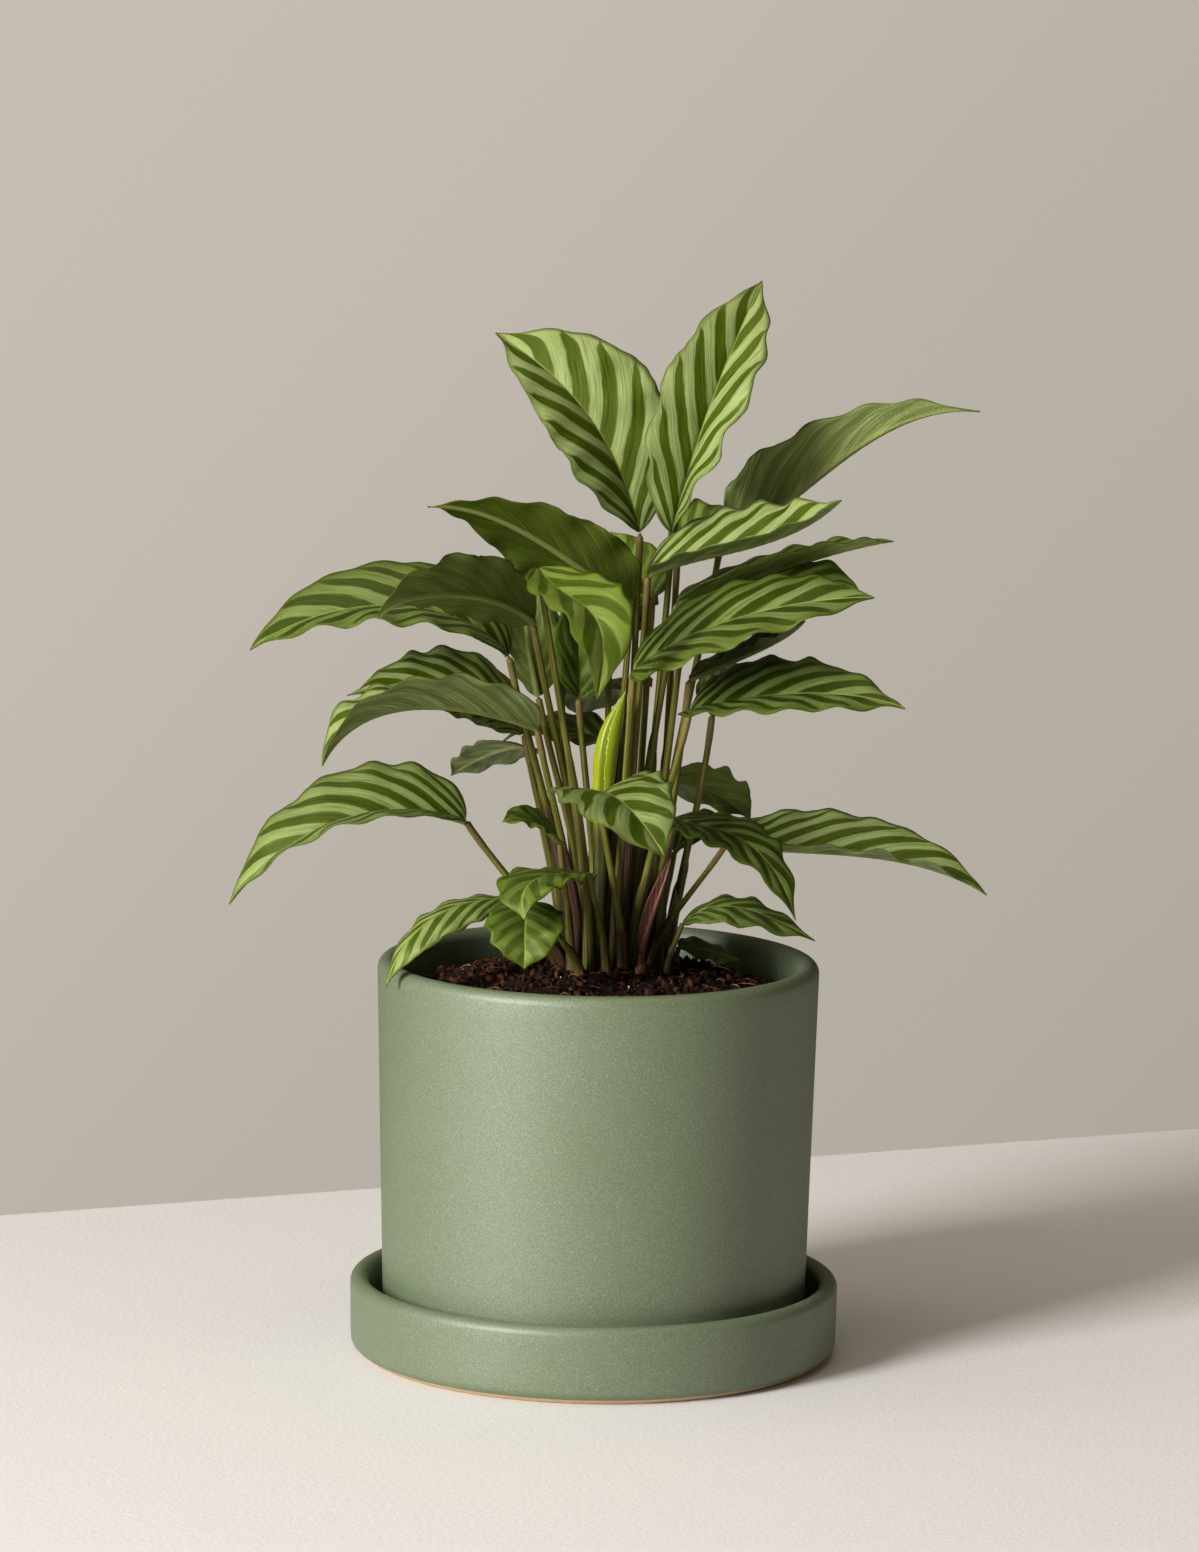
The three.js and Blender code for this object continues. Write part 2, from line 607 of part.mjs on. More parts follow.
add('saucer', saucer(), COLOURS.glaze, 0.4);
add('pot', pot(), COLOURS.glaze, 0.4);
add('soil', soil(feet), COLOURS.soil, 1);
for (const leaf of leaves) {
  const colour = leaf.name === 'sheath_red' ? COLOURS.sheath : COLOURS.leaf;
  add(leaf.name, leafShape(leaf), colour, 0.5);
}
add('new_leaf_rolled', rolledLeaf(NEW_LEAF), COLOURS.newLeaf, 0.5);

export default group;
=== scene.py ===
"""A striped prayer plant in its glazed pot and saucer: its finish, its fine forms and its studio.

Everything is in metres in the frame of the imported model, +Z up, with the origin under the middle of the
saucer. Plant sizes are written in millimetres, as a grower would measure them, and MM turns them into
metres."""

import math
import random

import bmesh
import bpy
from bpy.props import FloatProperty, FloatVectorProperty, IntProperty, PointerProperty
from mathutils import Matrix, Quaternion, Vector, noise


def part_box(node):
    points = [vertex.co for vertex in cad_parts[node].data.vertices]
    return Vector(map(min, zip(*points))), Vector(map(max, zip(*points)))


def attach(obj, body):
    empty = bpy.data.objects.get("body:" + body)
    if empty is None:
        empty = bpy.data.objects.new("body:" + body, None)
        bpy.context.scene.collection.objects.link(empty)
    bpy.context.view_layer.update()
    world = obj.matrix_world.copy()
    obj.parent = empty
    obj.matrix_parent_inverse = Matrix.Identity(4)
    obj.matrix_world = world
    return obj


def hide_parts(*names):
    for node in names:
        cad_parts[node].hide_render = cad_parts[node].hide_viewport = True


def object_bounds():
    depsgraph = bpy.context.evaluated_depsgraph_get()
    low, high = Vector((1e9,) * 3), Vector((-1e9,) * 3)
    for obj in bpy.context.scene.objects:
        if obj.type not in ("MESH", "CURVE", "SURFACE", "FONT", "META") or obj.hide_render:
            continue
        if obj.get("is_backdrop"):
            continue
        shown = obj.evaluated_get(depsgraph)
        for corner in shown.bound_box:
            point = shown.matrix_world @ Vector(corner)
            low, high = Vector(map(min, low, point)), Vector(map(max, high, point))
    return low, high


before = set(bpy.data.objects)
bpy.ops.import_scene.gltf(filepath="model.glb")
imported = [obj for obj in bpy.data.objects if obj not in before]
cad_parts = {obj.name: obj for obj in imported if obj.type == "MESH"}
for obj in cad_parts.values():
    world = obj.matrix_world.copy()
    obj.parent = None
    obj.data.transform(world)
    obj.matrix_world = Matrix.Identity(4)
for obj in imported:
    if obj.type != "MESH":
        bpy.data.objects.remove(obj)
CAD_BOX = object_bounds()

bl_info = {
    "name": "Potted Prayer Plant",
    "version": (1, 0, 0),
    "blender": (4, 5, 0),
    "location": "View3D > Sidebar > Prayer Plant",
    "description": "Grows a striped prayer plant in a glazed pot and saucer, with its soil and studio",
    "category": "Add Mesh",
}

BODY = "root"
MM = 0.001
SEED = 11
UP = Vector((0, 0, 1))

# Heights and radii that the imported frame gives
SAUCER_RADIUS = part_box("saucer")[1].x
SAUCER_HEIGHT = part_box("saucer")[1].z
POT_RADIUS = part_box("pot")[1].x
POT_BASE, POT_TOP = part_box("pot")[0].z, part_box("pot")[1].z


def linear(hex_colour):
    """An sRGB hex colour as the linear RGBA that shaders take."""
    channels = [int(hex_colour[i:i + 2], 16) / 255 for i in (1, 3, 5)]
    return (*[c / 12.92 if c <= 0.04045 else ((c + 0.055) / 1.055) ** 2.4 for c in channels], 1.0)


def blend(a, b, share):
    return a + (b - a) * share


def ease(low, high, value):
    """0 below low, 1 above high, and smooth between them."""
    share = min(max((value - low) / (high - low), 0), 1)
    return share * share * (3 - 2 * share)


# Settings that a user would change


class PotSettings(bpy.types.PropertyGroup):
    wall: FloatProperty(
        name="Pot Wall", description="Thickness of the pot's wall",
        default=7.8 * MM, min=4 * MM, max=12 * MM, unit="LENGTH")
    saucer_wall: FloatProperty(
        name="Saucer Wall", description="Thickness of the saucer's wall",
        default=6.9 * MM, min=4 * MM, max=12 * MM, unit="LENGTH")
    turns: IntProperty(
        name="Steps", description="Steps in one full turn of the pot and the saucer",
        default=192, min=48, max=256)
    glaze: FloatVectorProperty(
        name="Glaze", description="Colour of the satin glaze",
        default=linear("#616c52"), size=4, min=0, max=1, subtype="COLOR")
    clay: FloatVectorProperty(
        name="Bare Clay", description="Colour of the clay where the foot is wiped free of glaze",
        default=linear("#dcc39c"), size=4, min=0, max=1, subtype="COLOR")


class SoilSettings(bpy.types.PropertyGroup):
    crumbs: IntProperty(
        name="Crumbs", description="Crumbs of peat and bark that lie on the soil",
        default=3800, min=0, max=6000)
    fibres: IntProperty(
        name="Fibres", description="Loose coir fibres in the soil's surface",
        default=340, min=0, max=600)
    grit: IntProperty(
        name="Grit", description="Pale grains of grit in the soil's surface",
        default=70, min=0, max=300)
    colour: FloatVectorProperty(
        name="Soil", description="Colour of the moist potting mix",
        default=linear("#170b04"), size=4, min=0, max=1, subtype="COLOR")


class LeafSettings(bpy.types.PropertyGroup):
    thickness: FloatProperty(
        name="Blade Thickness", description="Thickness of a blade between its veins",
        default=0.45 * MM, min=0.2 * MM, max=0.7 * MM, unit="LENGTH")
    pleat: FloatProperty(
        name="Pleats", description="Height of the pleats that run along the side veins",
        default=0.22 * MM, min=0, max=0.6 * MM, unit="LENGTH")
    columns: IntProperty(
        name="Columns", description="Faces across a blade", default=26, min=8, max=40)
    rows: IntProperty(
        name="Rows", description="Faces along a blade", default=96, min=30, max=140)
    dark: FloatVectorProperty(
        name="Dark Bands", description="Colour of the dark bands on the upper face",
        default=linear("#3b4c05"), size=4, min=0, max=1, subtype="COLOR")
    pale: FloatVectorProperty(
        name="Pale Bands", description="Colour of the pale bands on the upper face",
        default=linear("#87945a"), size=4, min=0, max=1, subtype="COLOR")


class StageSettings(bpy.types.PropertyGroup):
    key_power: FloatProperty(
        name="Key Light", description="Power of the soft light at the front left",
        default=190, min=0, max=500, unit="POWER")
    top_power: FloatProperty(
        name="Top Light", description="Power of the wide light overhead",
        default=22, min=0, max=100, unit="POWER")
    fill: FloatProperty(
        name="Fill", description="Strength of the even light of the room",
        default=0.1, min=0, max=2, subtype="FACTOR")
    table: FloatVectorProperty(
        name="Table", description="Colour of the table top",
        default=linear("#e4e1df"), size=4, min=0, max=1, subtype="COLOR")
    wall: FloatVectorProperty(
        name="Wall Tint", description="Tints the wall behind the table",
        default=linear("#ffffff"), size=4, min=0, max=1, subtype="COLOR")


# Materials


def add_node(tree, kind, inputs=(), ramp=(), **settings):
    """Adds a node to a material and sets it up. A value that is a socket is linked, any other is set."""
    made = tree.nodes.new("ShaderNode" + kind)
    for name, value in settings.items():
        setattr(made, name, value)
    for place, (position, colour) in enumerate(ramp):
        elements = made.color_ramp.elements
        element = elements[place] if place < 2 else elements.new(position)
        element.position = position
        element.color = colour
    for key, value in dict(inputs).items():
        if isinstance(value, bpy.types.NodeSocket):
            tree.links.new(value, made.inputs[key])
        else:
            made.inputs[key].default_value = value
    return made


def new_material(name):
    """An empty node material with its output, and its tree."""
    material = bpy.data.materials.new(name)
    material.use_nodes = True
    material.node_tree.nodes.clear()
    return material, material.node_tree


def finish_material(material, inputs):
    """Closes a material with one Principled shader."""
    tree = material.node_tree
    shader = add_node(tree, "BsdfPrincipled", inputs)
    add_node(tree, "OutputMaterial", {"Surface": shader.outputs["BSDF"]})
    return material


def grey(value):
    return (value, value, value, 1)


def speckled_glaze():
    """Satin stoneware glaze, fired: fine crystals leave pale and dark specks in a soft green. The real
    specks are about 0.4 mm across, and are drawn at 0.5 mm so that they show."""
    material, tree = new_material("satin_speckled_stoneware_glaze")
    base = bpy.context.scene.plant_pot.glaze
    place = add_node(tree, "TexCoord").outputs["Object"]
    speck = add_node(tree, "TexNoise", {"Vector": place, "Scale": 2000, "Detail": 1, "Roughness": 0.6})
    drift = add_node(tree, "TexNoise", {"Vector": place, "Scale": 26, "Detail": 3})
    specks = add_node(tree, "ValToRGB", {"Fac": speck.outputs["Fac"]}, ramp=[
        (0.34, grey(0.8)), (0.7, grey(1.5)), (0.54, grey(1.0))])
    tone = add_node(tree, "ValToRGB", {"Fac": drift.outputs["Fac"]}, ramp=[
        (0.3, linear("#f4fbe8")), (0.7, linear("#ffffff"))])
    coloured = add_node(tree, "Mix", {"Factor": 1.0, "A": base, "B": specks.outputs["Color"]},
                        data_type="RGBA", blend_type="MULTIPLY")
    toned = add_node(tree, "Mix", {"Factor": 1.0, "A": coloured.outputs[2], "B": tone.outputs["Color"]},
                     data_type="RGBA", blend_type="MULTIPLY")
    rough = add_node(tree, "MapRange", {"Value": speck.outputs["Fac"], "To Min": 0.6, "To Max": 0.46})
    bump = add_node(tree, "Bump", {
        "Height": speck.outputs["Fac"], "Distance": 0.09 * MM, "Strength": 0.8})
    return finish_material(material, {
        "Base Color": toned.outputs[2],
        "Roughness": rough.outputs["Result"],
        "Normal": bump.outputs["Normal"],
        "IOR": 1.8,
    })


def bare_clay():
    """Fired stoneware clay, wiped free of glaze: dry, sandy and warm where the foot meets the table."""
    material, tree = new_material("bare_fired_clay")
    place = add_node(tree, "TexCoord").outputs["Object"]
    grain = add_node(tree, "TexNoise", {"Vector": place, "Scale": 900, "Detail": 3})
    colour = add_node(tree, "Mix", {
        "Factor": grain.outputs["Fac"],
        "A": linear("#b89b72"), "B": bpy.context.scene.plant_pot.clay}, data_type="RGBA")
    bump = add_node(tree, "Bump", {"Height": grain.outputs["Fac"], "Distance": 0.1 * MM, "Strength": 0.5})
    return finish_material(material, {
        "Base Color": colour.outputs[2], "Roughness": 0.85, "Normal": bump.outputs["Normal"]})


def potting_mix():
    """Moist peat and bark: near black in its hollows, where the darkness is painted shade over the mix's
    own dark brown, and red-brown on its crumbs, with no shine.
    """
    material, tree = new_material("moist_potting_mix")
    place = add_node(tree, "TexCoord").outputs["Object"]
    coarse = add_node(tree, "TexNoise", {
        "Vector": place, "Scale": 260, "Detail": 5, "Roughness": 0.65})
    fine = add_node(tree, "TexNoise", {"Vector": place, "Scale": 1300, "Detail": 2})
    # Darkest where the bump is lowest: painted shade in the hollows.
    colour = add_node(tree, "ValToRGB", {"Fac": coarse.outputs["Fac"]}, ramp=[
        (0.36, linear("#060301")), (0.72, linear("#3c1c0a")), (0.5, bpy.context.scene.plant_soil.colour)])
    height = add_node(tree, "Math", {0: coarse.outputs["Fac"], 1: fine.outputs["Fac"]}, operation="ADD")
    bump = add_node(tree, "Bump", {"Height": height.outputs["Value"], "Distance": 1.2 * MM})
    return finish_material(material, {
        "Base Color": colour.outputs["Color"], "Roughness": 0.92, "Normal": bump.outputs["Normal"],
        "Specular IOR Level": 0.15})


def crumb_material(name, colours, roughness):
    """Loose bits of one kind, each crumb in a tone of its own."""
    material, tree = new_material(name)
    each = add_node(tree, "NewGeometry").outputs["Random Per Island"]
    place = add_node(tree, "TexCoord").outputs["Object"]
    grain = add_node(tree, "TexNoise", {"Vector": place, "Scale": 1600, "Detail": 2})
    tone = add_node(tree, "ValToRGB", {"Fac": each}, ramp=[
        (0.0, linear(colours[0])), (1.0, linear(colours[2])), (0.6, linear(colours[1]))])
    bump = add_node(tree, "Bump", {"Height": grain.outputs["Fac"], "Distance": 0.3 * MM})
    return finish_material(material, {
        "Base Color": tone.outputs["Color"], "Roughness": roughness, "Normal": bump.outputs["Normal"],
        "Specular IOR Level": 0.2})


# What a blade's mesh carries for its materials: shares of the way out to the margin and along the midrib,
# the count of bands, the millimetres to the midrib and to the margin, the leaf's seed, and its own tint:
# how light its pale bands are, how faint its bands are, and how lime it is.
# The tint paints light and shade into each leaf as well as giving it its own tone.
FIELD_LAYERS = {
    "pattern": ("reach", "along", "band"),
    "spans": ("rib", "edge", "seed"),
    "tint": ("pale", "plain", "lime"),
}


def blade_fields(tree):
    """Reads the blade's fields, by name."""
    fields = {}
    for layer, names in FIELD_LAYERS.items():
        vector = add_node(tree, "Attribute", attribute_name=layer).outputs["Vector"]
        parts = add_node(tree, "SeparateXYZ", {"Vector": vector}).outputs
        fields.update(zip(names, parts))
    return fields


# How close the fine veins' streaks run across the bands, along them, and from leaf to leaf
VEIN_STRETCH = (16.0, 2.2, 9.0)


def veins(tree, fields):
    """Fine side veins about 1.2 mm apart, as streaks that run with the bands. They fade at the tip, where
    they run too close to be told apart."""
    stretched = add_node(tree, "CombineXYZ", {
        "X": fields["band"], "Y": fields["reach"], "Z": fields["seed"]}).outputs["Vector"]
    scaled = add_node(tree, "VectorMath", {0: stretched, 1: VEIN_STRETCH}, operation="MULTIPLY")
    streak = add_node(tree, "TexNoise", {
        "Vector": scaled.outputs["Vector"], "Scale": 1.0, "Detail": 3, "Roughness": 0.6})
    fade = add_node(tree, "MapRange", {"Value": fields["along"], "From Min": 0.72, "From Max": 0.9})
    return add_node(tree, "Mix", {
        "Factor": fade.outputs["Result"], "A": streak.outputs["Fac"], "B": 0.52}).outputs["Result"]


def band_mask(tree, fields, softness):
    """1 in the dark bands: half of the width at the midrib, then narrower, and pointed before the margin.
    Also how far a place is from the middle line of its band."""
    place = add_node(tree, "TexCoord").outputs["Object"]
    stray = add_node(tree, "TexNoise", {"Vector": place, "Scale": 90, "Detail": 2})
    wobble = add_node(tree, "MapRange", {"Value": stray.outputs["Fac"], "To Min": -0.1, "To Max": 0.1})
    wandering = add_node(tree, "Math", {0: fields["band"], 1: wobble.outputs["Result"]}, operation="ADD")
    part = add_node(tree, "Math", {0: wandering.outputs["Value"]}, operation="FRACT")
    centred = add_node(tree, "Math", {0: part.outputs["Value"], 1: 0.5}, operation="SUBTRACT")
    away = add_node(tree, "Math", {0: centred.outputs["Value"]}, operation="ABSOLUTE")
    width = add_node(tree, "ValToRGB", {"Fac": fields["reach"]}, ramp=[
        (0.0, grey(0.27)), (0.97, grey(0.0)), (0.3, grey(0.27)), (0.62, grey(0.25)), (0.82, grey(0.17)),
        (0.92, grey(0.05))])
    inside = add_node(tree, "Math", {
        0: width.outputs["Color"], 1: away.outputs["Value"]}, operation="SUBTRACT")
    mask = add_node(tree, "MapRange", {
        "Value": inside.outputs["Value"], "From Min": -softness, "From Max": softness},
        interpolation_type="SMOOTHSTEP")
    return mask.outputs["Result"], away.outputs["Value"]


def paint(tree, made, tones, spans, products, mixes):
    """Adds what a leaf's recipe lists and keeps each under its name. A tone varies along the fine veins, a
    span rises from 0 to its most between two values of a field, a product joins two masks, and a mix lays
    its second colour over its first where its mask says so."""
    for name, (low, middle, high) in tones.items():
        made[name] = add_node(tree, "ValToRGB", {"Fac": made["streak"]}, ramp=[
            (0.34, linear(low)), (0.7, linear(high)), (0.52, middle)]).outputs["Color"]
    for name, (field, start, end, most) in spans.items():
        made[name] = add_node(tree, "MapRange", {
            "Value": made[field], "From Min": start, "From Max": end, "To Max": most},
            interpolation_type="SMOOTHSTEP").outputs["Result"]
    for name, (one, other) in products.items():
        made[name] = add_node(tree, "Math", {
            0: made[one], 1: made[other]}, operation="MULTIPLY").outputs["Value"]
    for name, mask, under, over in mixes:
        made[name] = add_node(tree, "Mix", {
            "Factor": made[mask], "A": made[under], "B": made[over]}, data_type="RGBA").outputs[2]


LEAF_SKIN = {
    "IOR": 1.45,
    "Specular IOR Level": 0.38,
    "Specular Tint": linear("#effaa8"),
    "Subsurface Weight": 0.3,
    "Subsurface Radius": (0.5, 0.7, 0.05),
    "Subsurface Scale": MM,
}


def upper_leaf():
    """Upper face of a prayer plant leaf: a waxed skin over dark and pale cells, with a wet gloss near its
    base and a satin one beyond. The bands slant from the midrib to the tip, and the margin is a thin dark
    green line."""
    material, tree = new_material("waxy_striped_leaf_upper_face")
    settings = bpy.context.scene.plant_leaf
    made = blade_fields(tree)
    made["streak"] = veins(tree, made)
    made["dark"], made["away"] = band_mask(tree, made, 0.045)
    colours = {"painted_shade_green": "#44540f", "lime_pale": "#7c9026", "lime_band": "#4b6108", "line": "#384709",
               "margin": "#43540e", "edging": "#2c3908", "midrib": "#7b8438", "dry_tip": "#5d4c2c"}
    made.update({name: linear(colour) for name, colour in colours.items()})
    paint(
        tree, made,
        # The tones come in shaded and lit copies: each leaf's pale tint mixes them, which paints light and
        # shade into the leaf along with its own tone.
        tones={
            "shaded_copy": ("#3e4e13", linear("#54642a"), "#6b7a40"),
            "light": ("#64723a", settings.pale, "#949e70"),
            "faint": ("#35440f", linear("#46571a"), "#5a6a30"),
            "shaded_band_copy": ("#172102", linear("#212e03"), "#2d3c07"),
            "light_band": ("#293604", settings.dark, "#4a5c0d"),
        },
        spans={
            # On leaves with a low pale tint the ground darkens towards the margin: painted shade.
            "outward": ("reach", 0.3, 1.0, 1.0),
            "unlit": ("pale", 1.1, 0.2, 0.75),
            "clear": ("plain", 1.6, 0.0, 1.0),
            "in_middle": ("away", 0.025, 0.0, 0.5),
            "near_end": ("reach", 0.7, 0.9, 1.0),
            "at_margin": ("edge", 2.2, 0.6, 0.6),
            "at_edge": ("edge", 0.5, 0.2, 0.55),
            "on_rib": ("rib", 0.65, 0.3, 0.85),
            "at_tip": ("along", 0.98, 0.995, 1.0),
        },
        products={
            "painted_shade_outward": ("outward", "unlit"),
            "banded": ("dark", "clear"),
            "lined": ("in_middle", "near_end"),
        },
        mixes=(
            ("ground", "pale", "shaded_copy", "light"),
            ("ground", "painted_shade_outward", "ground", "painted_shade_green"),
            ("ground", "plain", "ground", "faint"),
            ("bands", "pale", "shaded_band_copy", "light_band"),
            ("striped", "banded", "ground", "bands"),
            ("young", "banded", "lime_pale", "lime_band"),
            ("colour", "lime", "striped", "young"),
            ("colour", "lined", "colour", "line"),
            ("colour", "at_margin", "colour", "margin"),
            ("colour", "at_edge", "colour", "edging"),
            ("colour", "on_rib", "colour", "midrib"),
            ("colour", "at_tip", "colour", "dry_tip"),
        ))
    aging = add_node(tree, "MapRange", {
        "Value": made["along"], "From Min": 0.06, "From Max": 0.36, "To Min": 0.15, "To Max": 0.46})
    grain = add_node(tree, "MapRange", {"Value": made["streak"], "To Min": -0.06, "To Max": 0.06})
    rough = add_node(tree, "Math", {
        0: aging.outputs["Result"], 1: grain.outputs["Result"]}, operation="ADD")
    bump = add_node(tree, "Bump", {"Height": made["streak"], "Distance": 0.12 * MM, "Strength": 0.6})
    return finish_material(material, {
        "Base Color": made["colour"],
        "Roughness": rough.outputs["Value"],
        "Normal": bump.outputs["Normal"],
        **LEAF_SKIN,
    })


def under_leaf():
    """Underside of the leaf: olive and duller, with fine pale veins, and the bands show through faintly."""
    material, tree = new_material("leaf_underside")
    made = blade_fields(tree)
    made["streak"] = veins(tree, made)
    made["dark"], _ = band_mask(tree, made, 0.1)
    made["faintly"] = 0.4
    colours = {"shadow": "#2e3a0a", "young": "#8a9a30", "midrib": "#7b8048", "edging": "#3a4514"}
    made.update({name: linear(colour) for name, colour in colours.items()})
    paint(
        tree, made,
        # The tones are shaded and lit copies of the underside's colour, mixed by the leaf's pale tint:
        # painted light and shade along with the leaf's own tone.
        tones={
            "shaded_copy": ("#28310a", linear("#3a460e"), "#505d1e"),
            "light": ("#586430", linear("#788550"), "#a3ab7a"),
        },
        spans={
            "on_rib": ("rib", 1.4, 0.7, 0.7),
            "at_edge": ("edge", 0.8, 0.35, 0.6),
        },
        products={"shown": ("dark", "faintly")},
        mixes=(
            ("colour", "pale", "shaded_copy", "light"),
            ("colour", "shown", "colour", "shadow"),
            ("colour", "lime", "colour", "young"),
            ("colour", "on_rib", "colour", "midrib"),
            ("colour", "at_edge", "colour", "edging"),
        ))
    rough = add_node(tree, "MapRange", {"Value": made["streak"], "To Min": 0.38, "To Max": 0.56})
    bump = add_node(tree, "Bump", {"Height": made["streak"], "Distance": 0.3 * MM, "Strength": 0.7})
    return finish_material(material, {
        "Base Color": made["colour"],
        "Roughness": rough.outputs["Result"],
        "Normal": bump.outputs["Normal"],
        **LEAF_SKIN,
    })


def lengthwise_fibres(tree, stretch):
    """Streaks along a stalk, a sheath or a roll, and the field of shares round it and up it."""
    field = add_node(tree, "Attribute", attribute_name="pattern").outputs["Vector"]
    stretched = add_node(tree, "VectorMath", {0: field, 1: stretch}, operation="MULTIPLY")
    fibres = add_node(tree, "TexNoise", {"Vector": stretched.outputs["Vector"], "Scale": 1, "Detail": 3})
    return fibres.outputs["Fac"], field


def leaf_stalk():
    """Leaf stalk: smooth olive green, ribbed lengthwise by its fibres. Its sheath is purple-brown at the
    foot, and the joint under the blade is tan."""
    material, tree = new_material("fibrous_leaf_stalk")
    fibres, _ = lengthwise_fibres(tree, (14.0, 3.0, 1.0))
    marks = add_node(tree, "Attribute", attribute_name="spans").outputs["Vector"]
    masks = add_node(tree, "SeparateXYZ", {"Vector": marks}).outputs
    made = dict(zip(("sheathed", "jointed", "purple"), masks))
    made["tan"] = linear("#6f5f34")
    for name, stops in {
            "stalk": ((0.34, "#35370a"), (0.68, "#7c7838"), (0.5, "#575616")),
            "purple_sheath": ((0.35, "#1f1114"), (0.7, "#5d3d2c"), (0.5, "#37211f")),
            "green_sheath": ((0.35, "#33340c"), (0.7, "#757037"), (0.5, "#52501c"))}.items():
        made[name] = add_node(tree, "ValToRGB", {"Fac": fibres}, ramp=[
            (at, linear(colour)) for at, colour in stops]).outputs["Color"]
    for name, mask, under, over in (
            ("sheath", "purple", "green_sheath", "purple_sheath"),
            ("colour", "sheathed", "stalk", "sheath"),
            ("colour", "jointed", "colour", "tan")):
        made[name] = add_node(tree, "Mix", {
            "Factor": made[mask], "A": made[under], "B": made[over]}, data_type="RGBA").outputs[2]
    bump = add_node(tree, "Bump", {"Height": fibres, "Distance": 0.25 * MM, "Strength": 0.7})
    return finish_material(material, {
        "Base Color": made["colour"],
        "Roughness": 0.42,
        "Normal": bump.outputs["Normal"],
        "IOR": 1.45,
        "Specular IOR Level": 0.35,
        "Specular Tint": linear("#fff6c8"),
        "Subsurface Weight": 0.1,
        "Subsurface Radius": (0.8, 0.9, 0.4),
        "Subsurface Scale": MM,
    })


def fresh_roll():
    """The newest leaf, still rolled: thin, glossy and lit through, from lime at its edge to pale yellow."""
    material, tree = new_material("fresh_rolled_leaf")
    streak, field = lengthwise_fibres(tree, (12.0, 2.0, 1.0))
    parts = add_node(tree, "SeparateXYZ", {"Vector": field}).outputs
    across = add_node(tree, "ValToRGB", {"Fac": parts["X"]}, ramp=[
        (0.0, linear("#7c8c04")), (1.0, linear("#6c7e04")), (0.3, linear("#a4ad08")),
        (0.5, linear("#d8d860")), (0.75, linear("#a2a80a"))])
    toned = add_node(tree, "Mix", {"Factor": 0.35, "A": across.outputs["Color"], "B": streak},
                     data_type="RGBA", blend_type="OVERLAY")
    low = add_node(tree, "MapRange", {
        "Value": parts["Y"], "From Min": 0.52, "From Max": 0.38}, interpolation_type="SMOOTHSTEP")
    footed = add_node(tree, "Mix", {
        "Factor": low.outputs["Result"], "A": toned.outputs[2], "B": linear("#4c4f18")}, data_type="RGBA")
    bump = add_node(tree, "Bump", {"Height": streak, "Distance": 0.2 * MM, "Strength": 0.6})
    return finish_material(material, {
        "Base Color": footed.outputs[2],
        "Roughness": 0.36,
        "Normal": bump.outputs["Normal"],
        "Subsurface Weight": 0.35,
        "Subsurface Radius": (1.0, 1.2, 0.3),
        "Subsurface Scale": MM,
    })


def sheath_skin(name, dark, light):
    """A leaf sheath standing free of its stalk: papery, with close lengthwise fibres."""
    material, tree = new_material(name)
    fibres, _ = lengthwise_fibres(tree, (16.0, 1.5, 0.0))
    tone = add_node(tree, "ValToRGB", {"Fac": fibres}, ramp=[(0.3, linear(dark)), (0.72, linear(light))])
    bump = add_node(tree, "Bump", {"Height": fibres, "Distance": 0.2 * MM, "Strength": 0.7})
    return finish_material(material, {
        "Base Color": tone.outputs["Color"],
        "Roughness": 0.5,
        "Normal": bump.outputs["Normal"],
        "Subsurface Weight": 0.2,
        "Subsurface Radius": (1.0, 0.5, 0.3),
        "Subsurface Scale": MM,
    })


def table_paint():
    """Painted plaster board: pale and matt, with a fine rolled texture of about 3 mm."""
    material, tree = new_material("rolled_plaster_table")
    place = add_node(tree, "TexCoord").outputs["Object"]
    rolled = add_node(tree, "TexNoise", {"Vector": place, "Scale": 420, "Detail": 4, "Roughness": 0.7})
    tone = add_node(tree, "MapRange", {"Value": rolled.outputs["Fac"], "To Min": 0.9, "To Max": 1.09})
    colour = add_node(tree, "VectorMath", {
        0: bpy.context.scene.plant_stage.table[:3], "Scale": tone.outputs["Result"]}, operation="SCALE")
    bump = add_node(tree, "Bump", {
        "Height": rolled.outputs["Fac"], "Distance": 0.35 * MM, "Strength": 0.5})
    return finish_material(material, {
        "Base Color": colour.outputs["Vector"], "Roughness": 0.7, "Normal": bump.outputs["Normal"]})


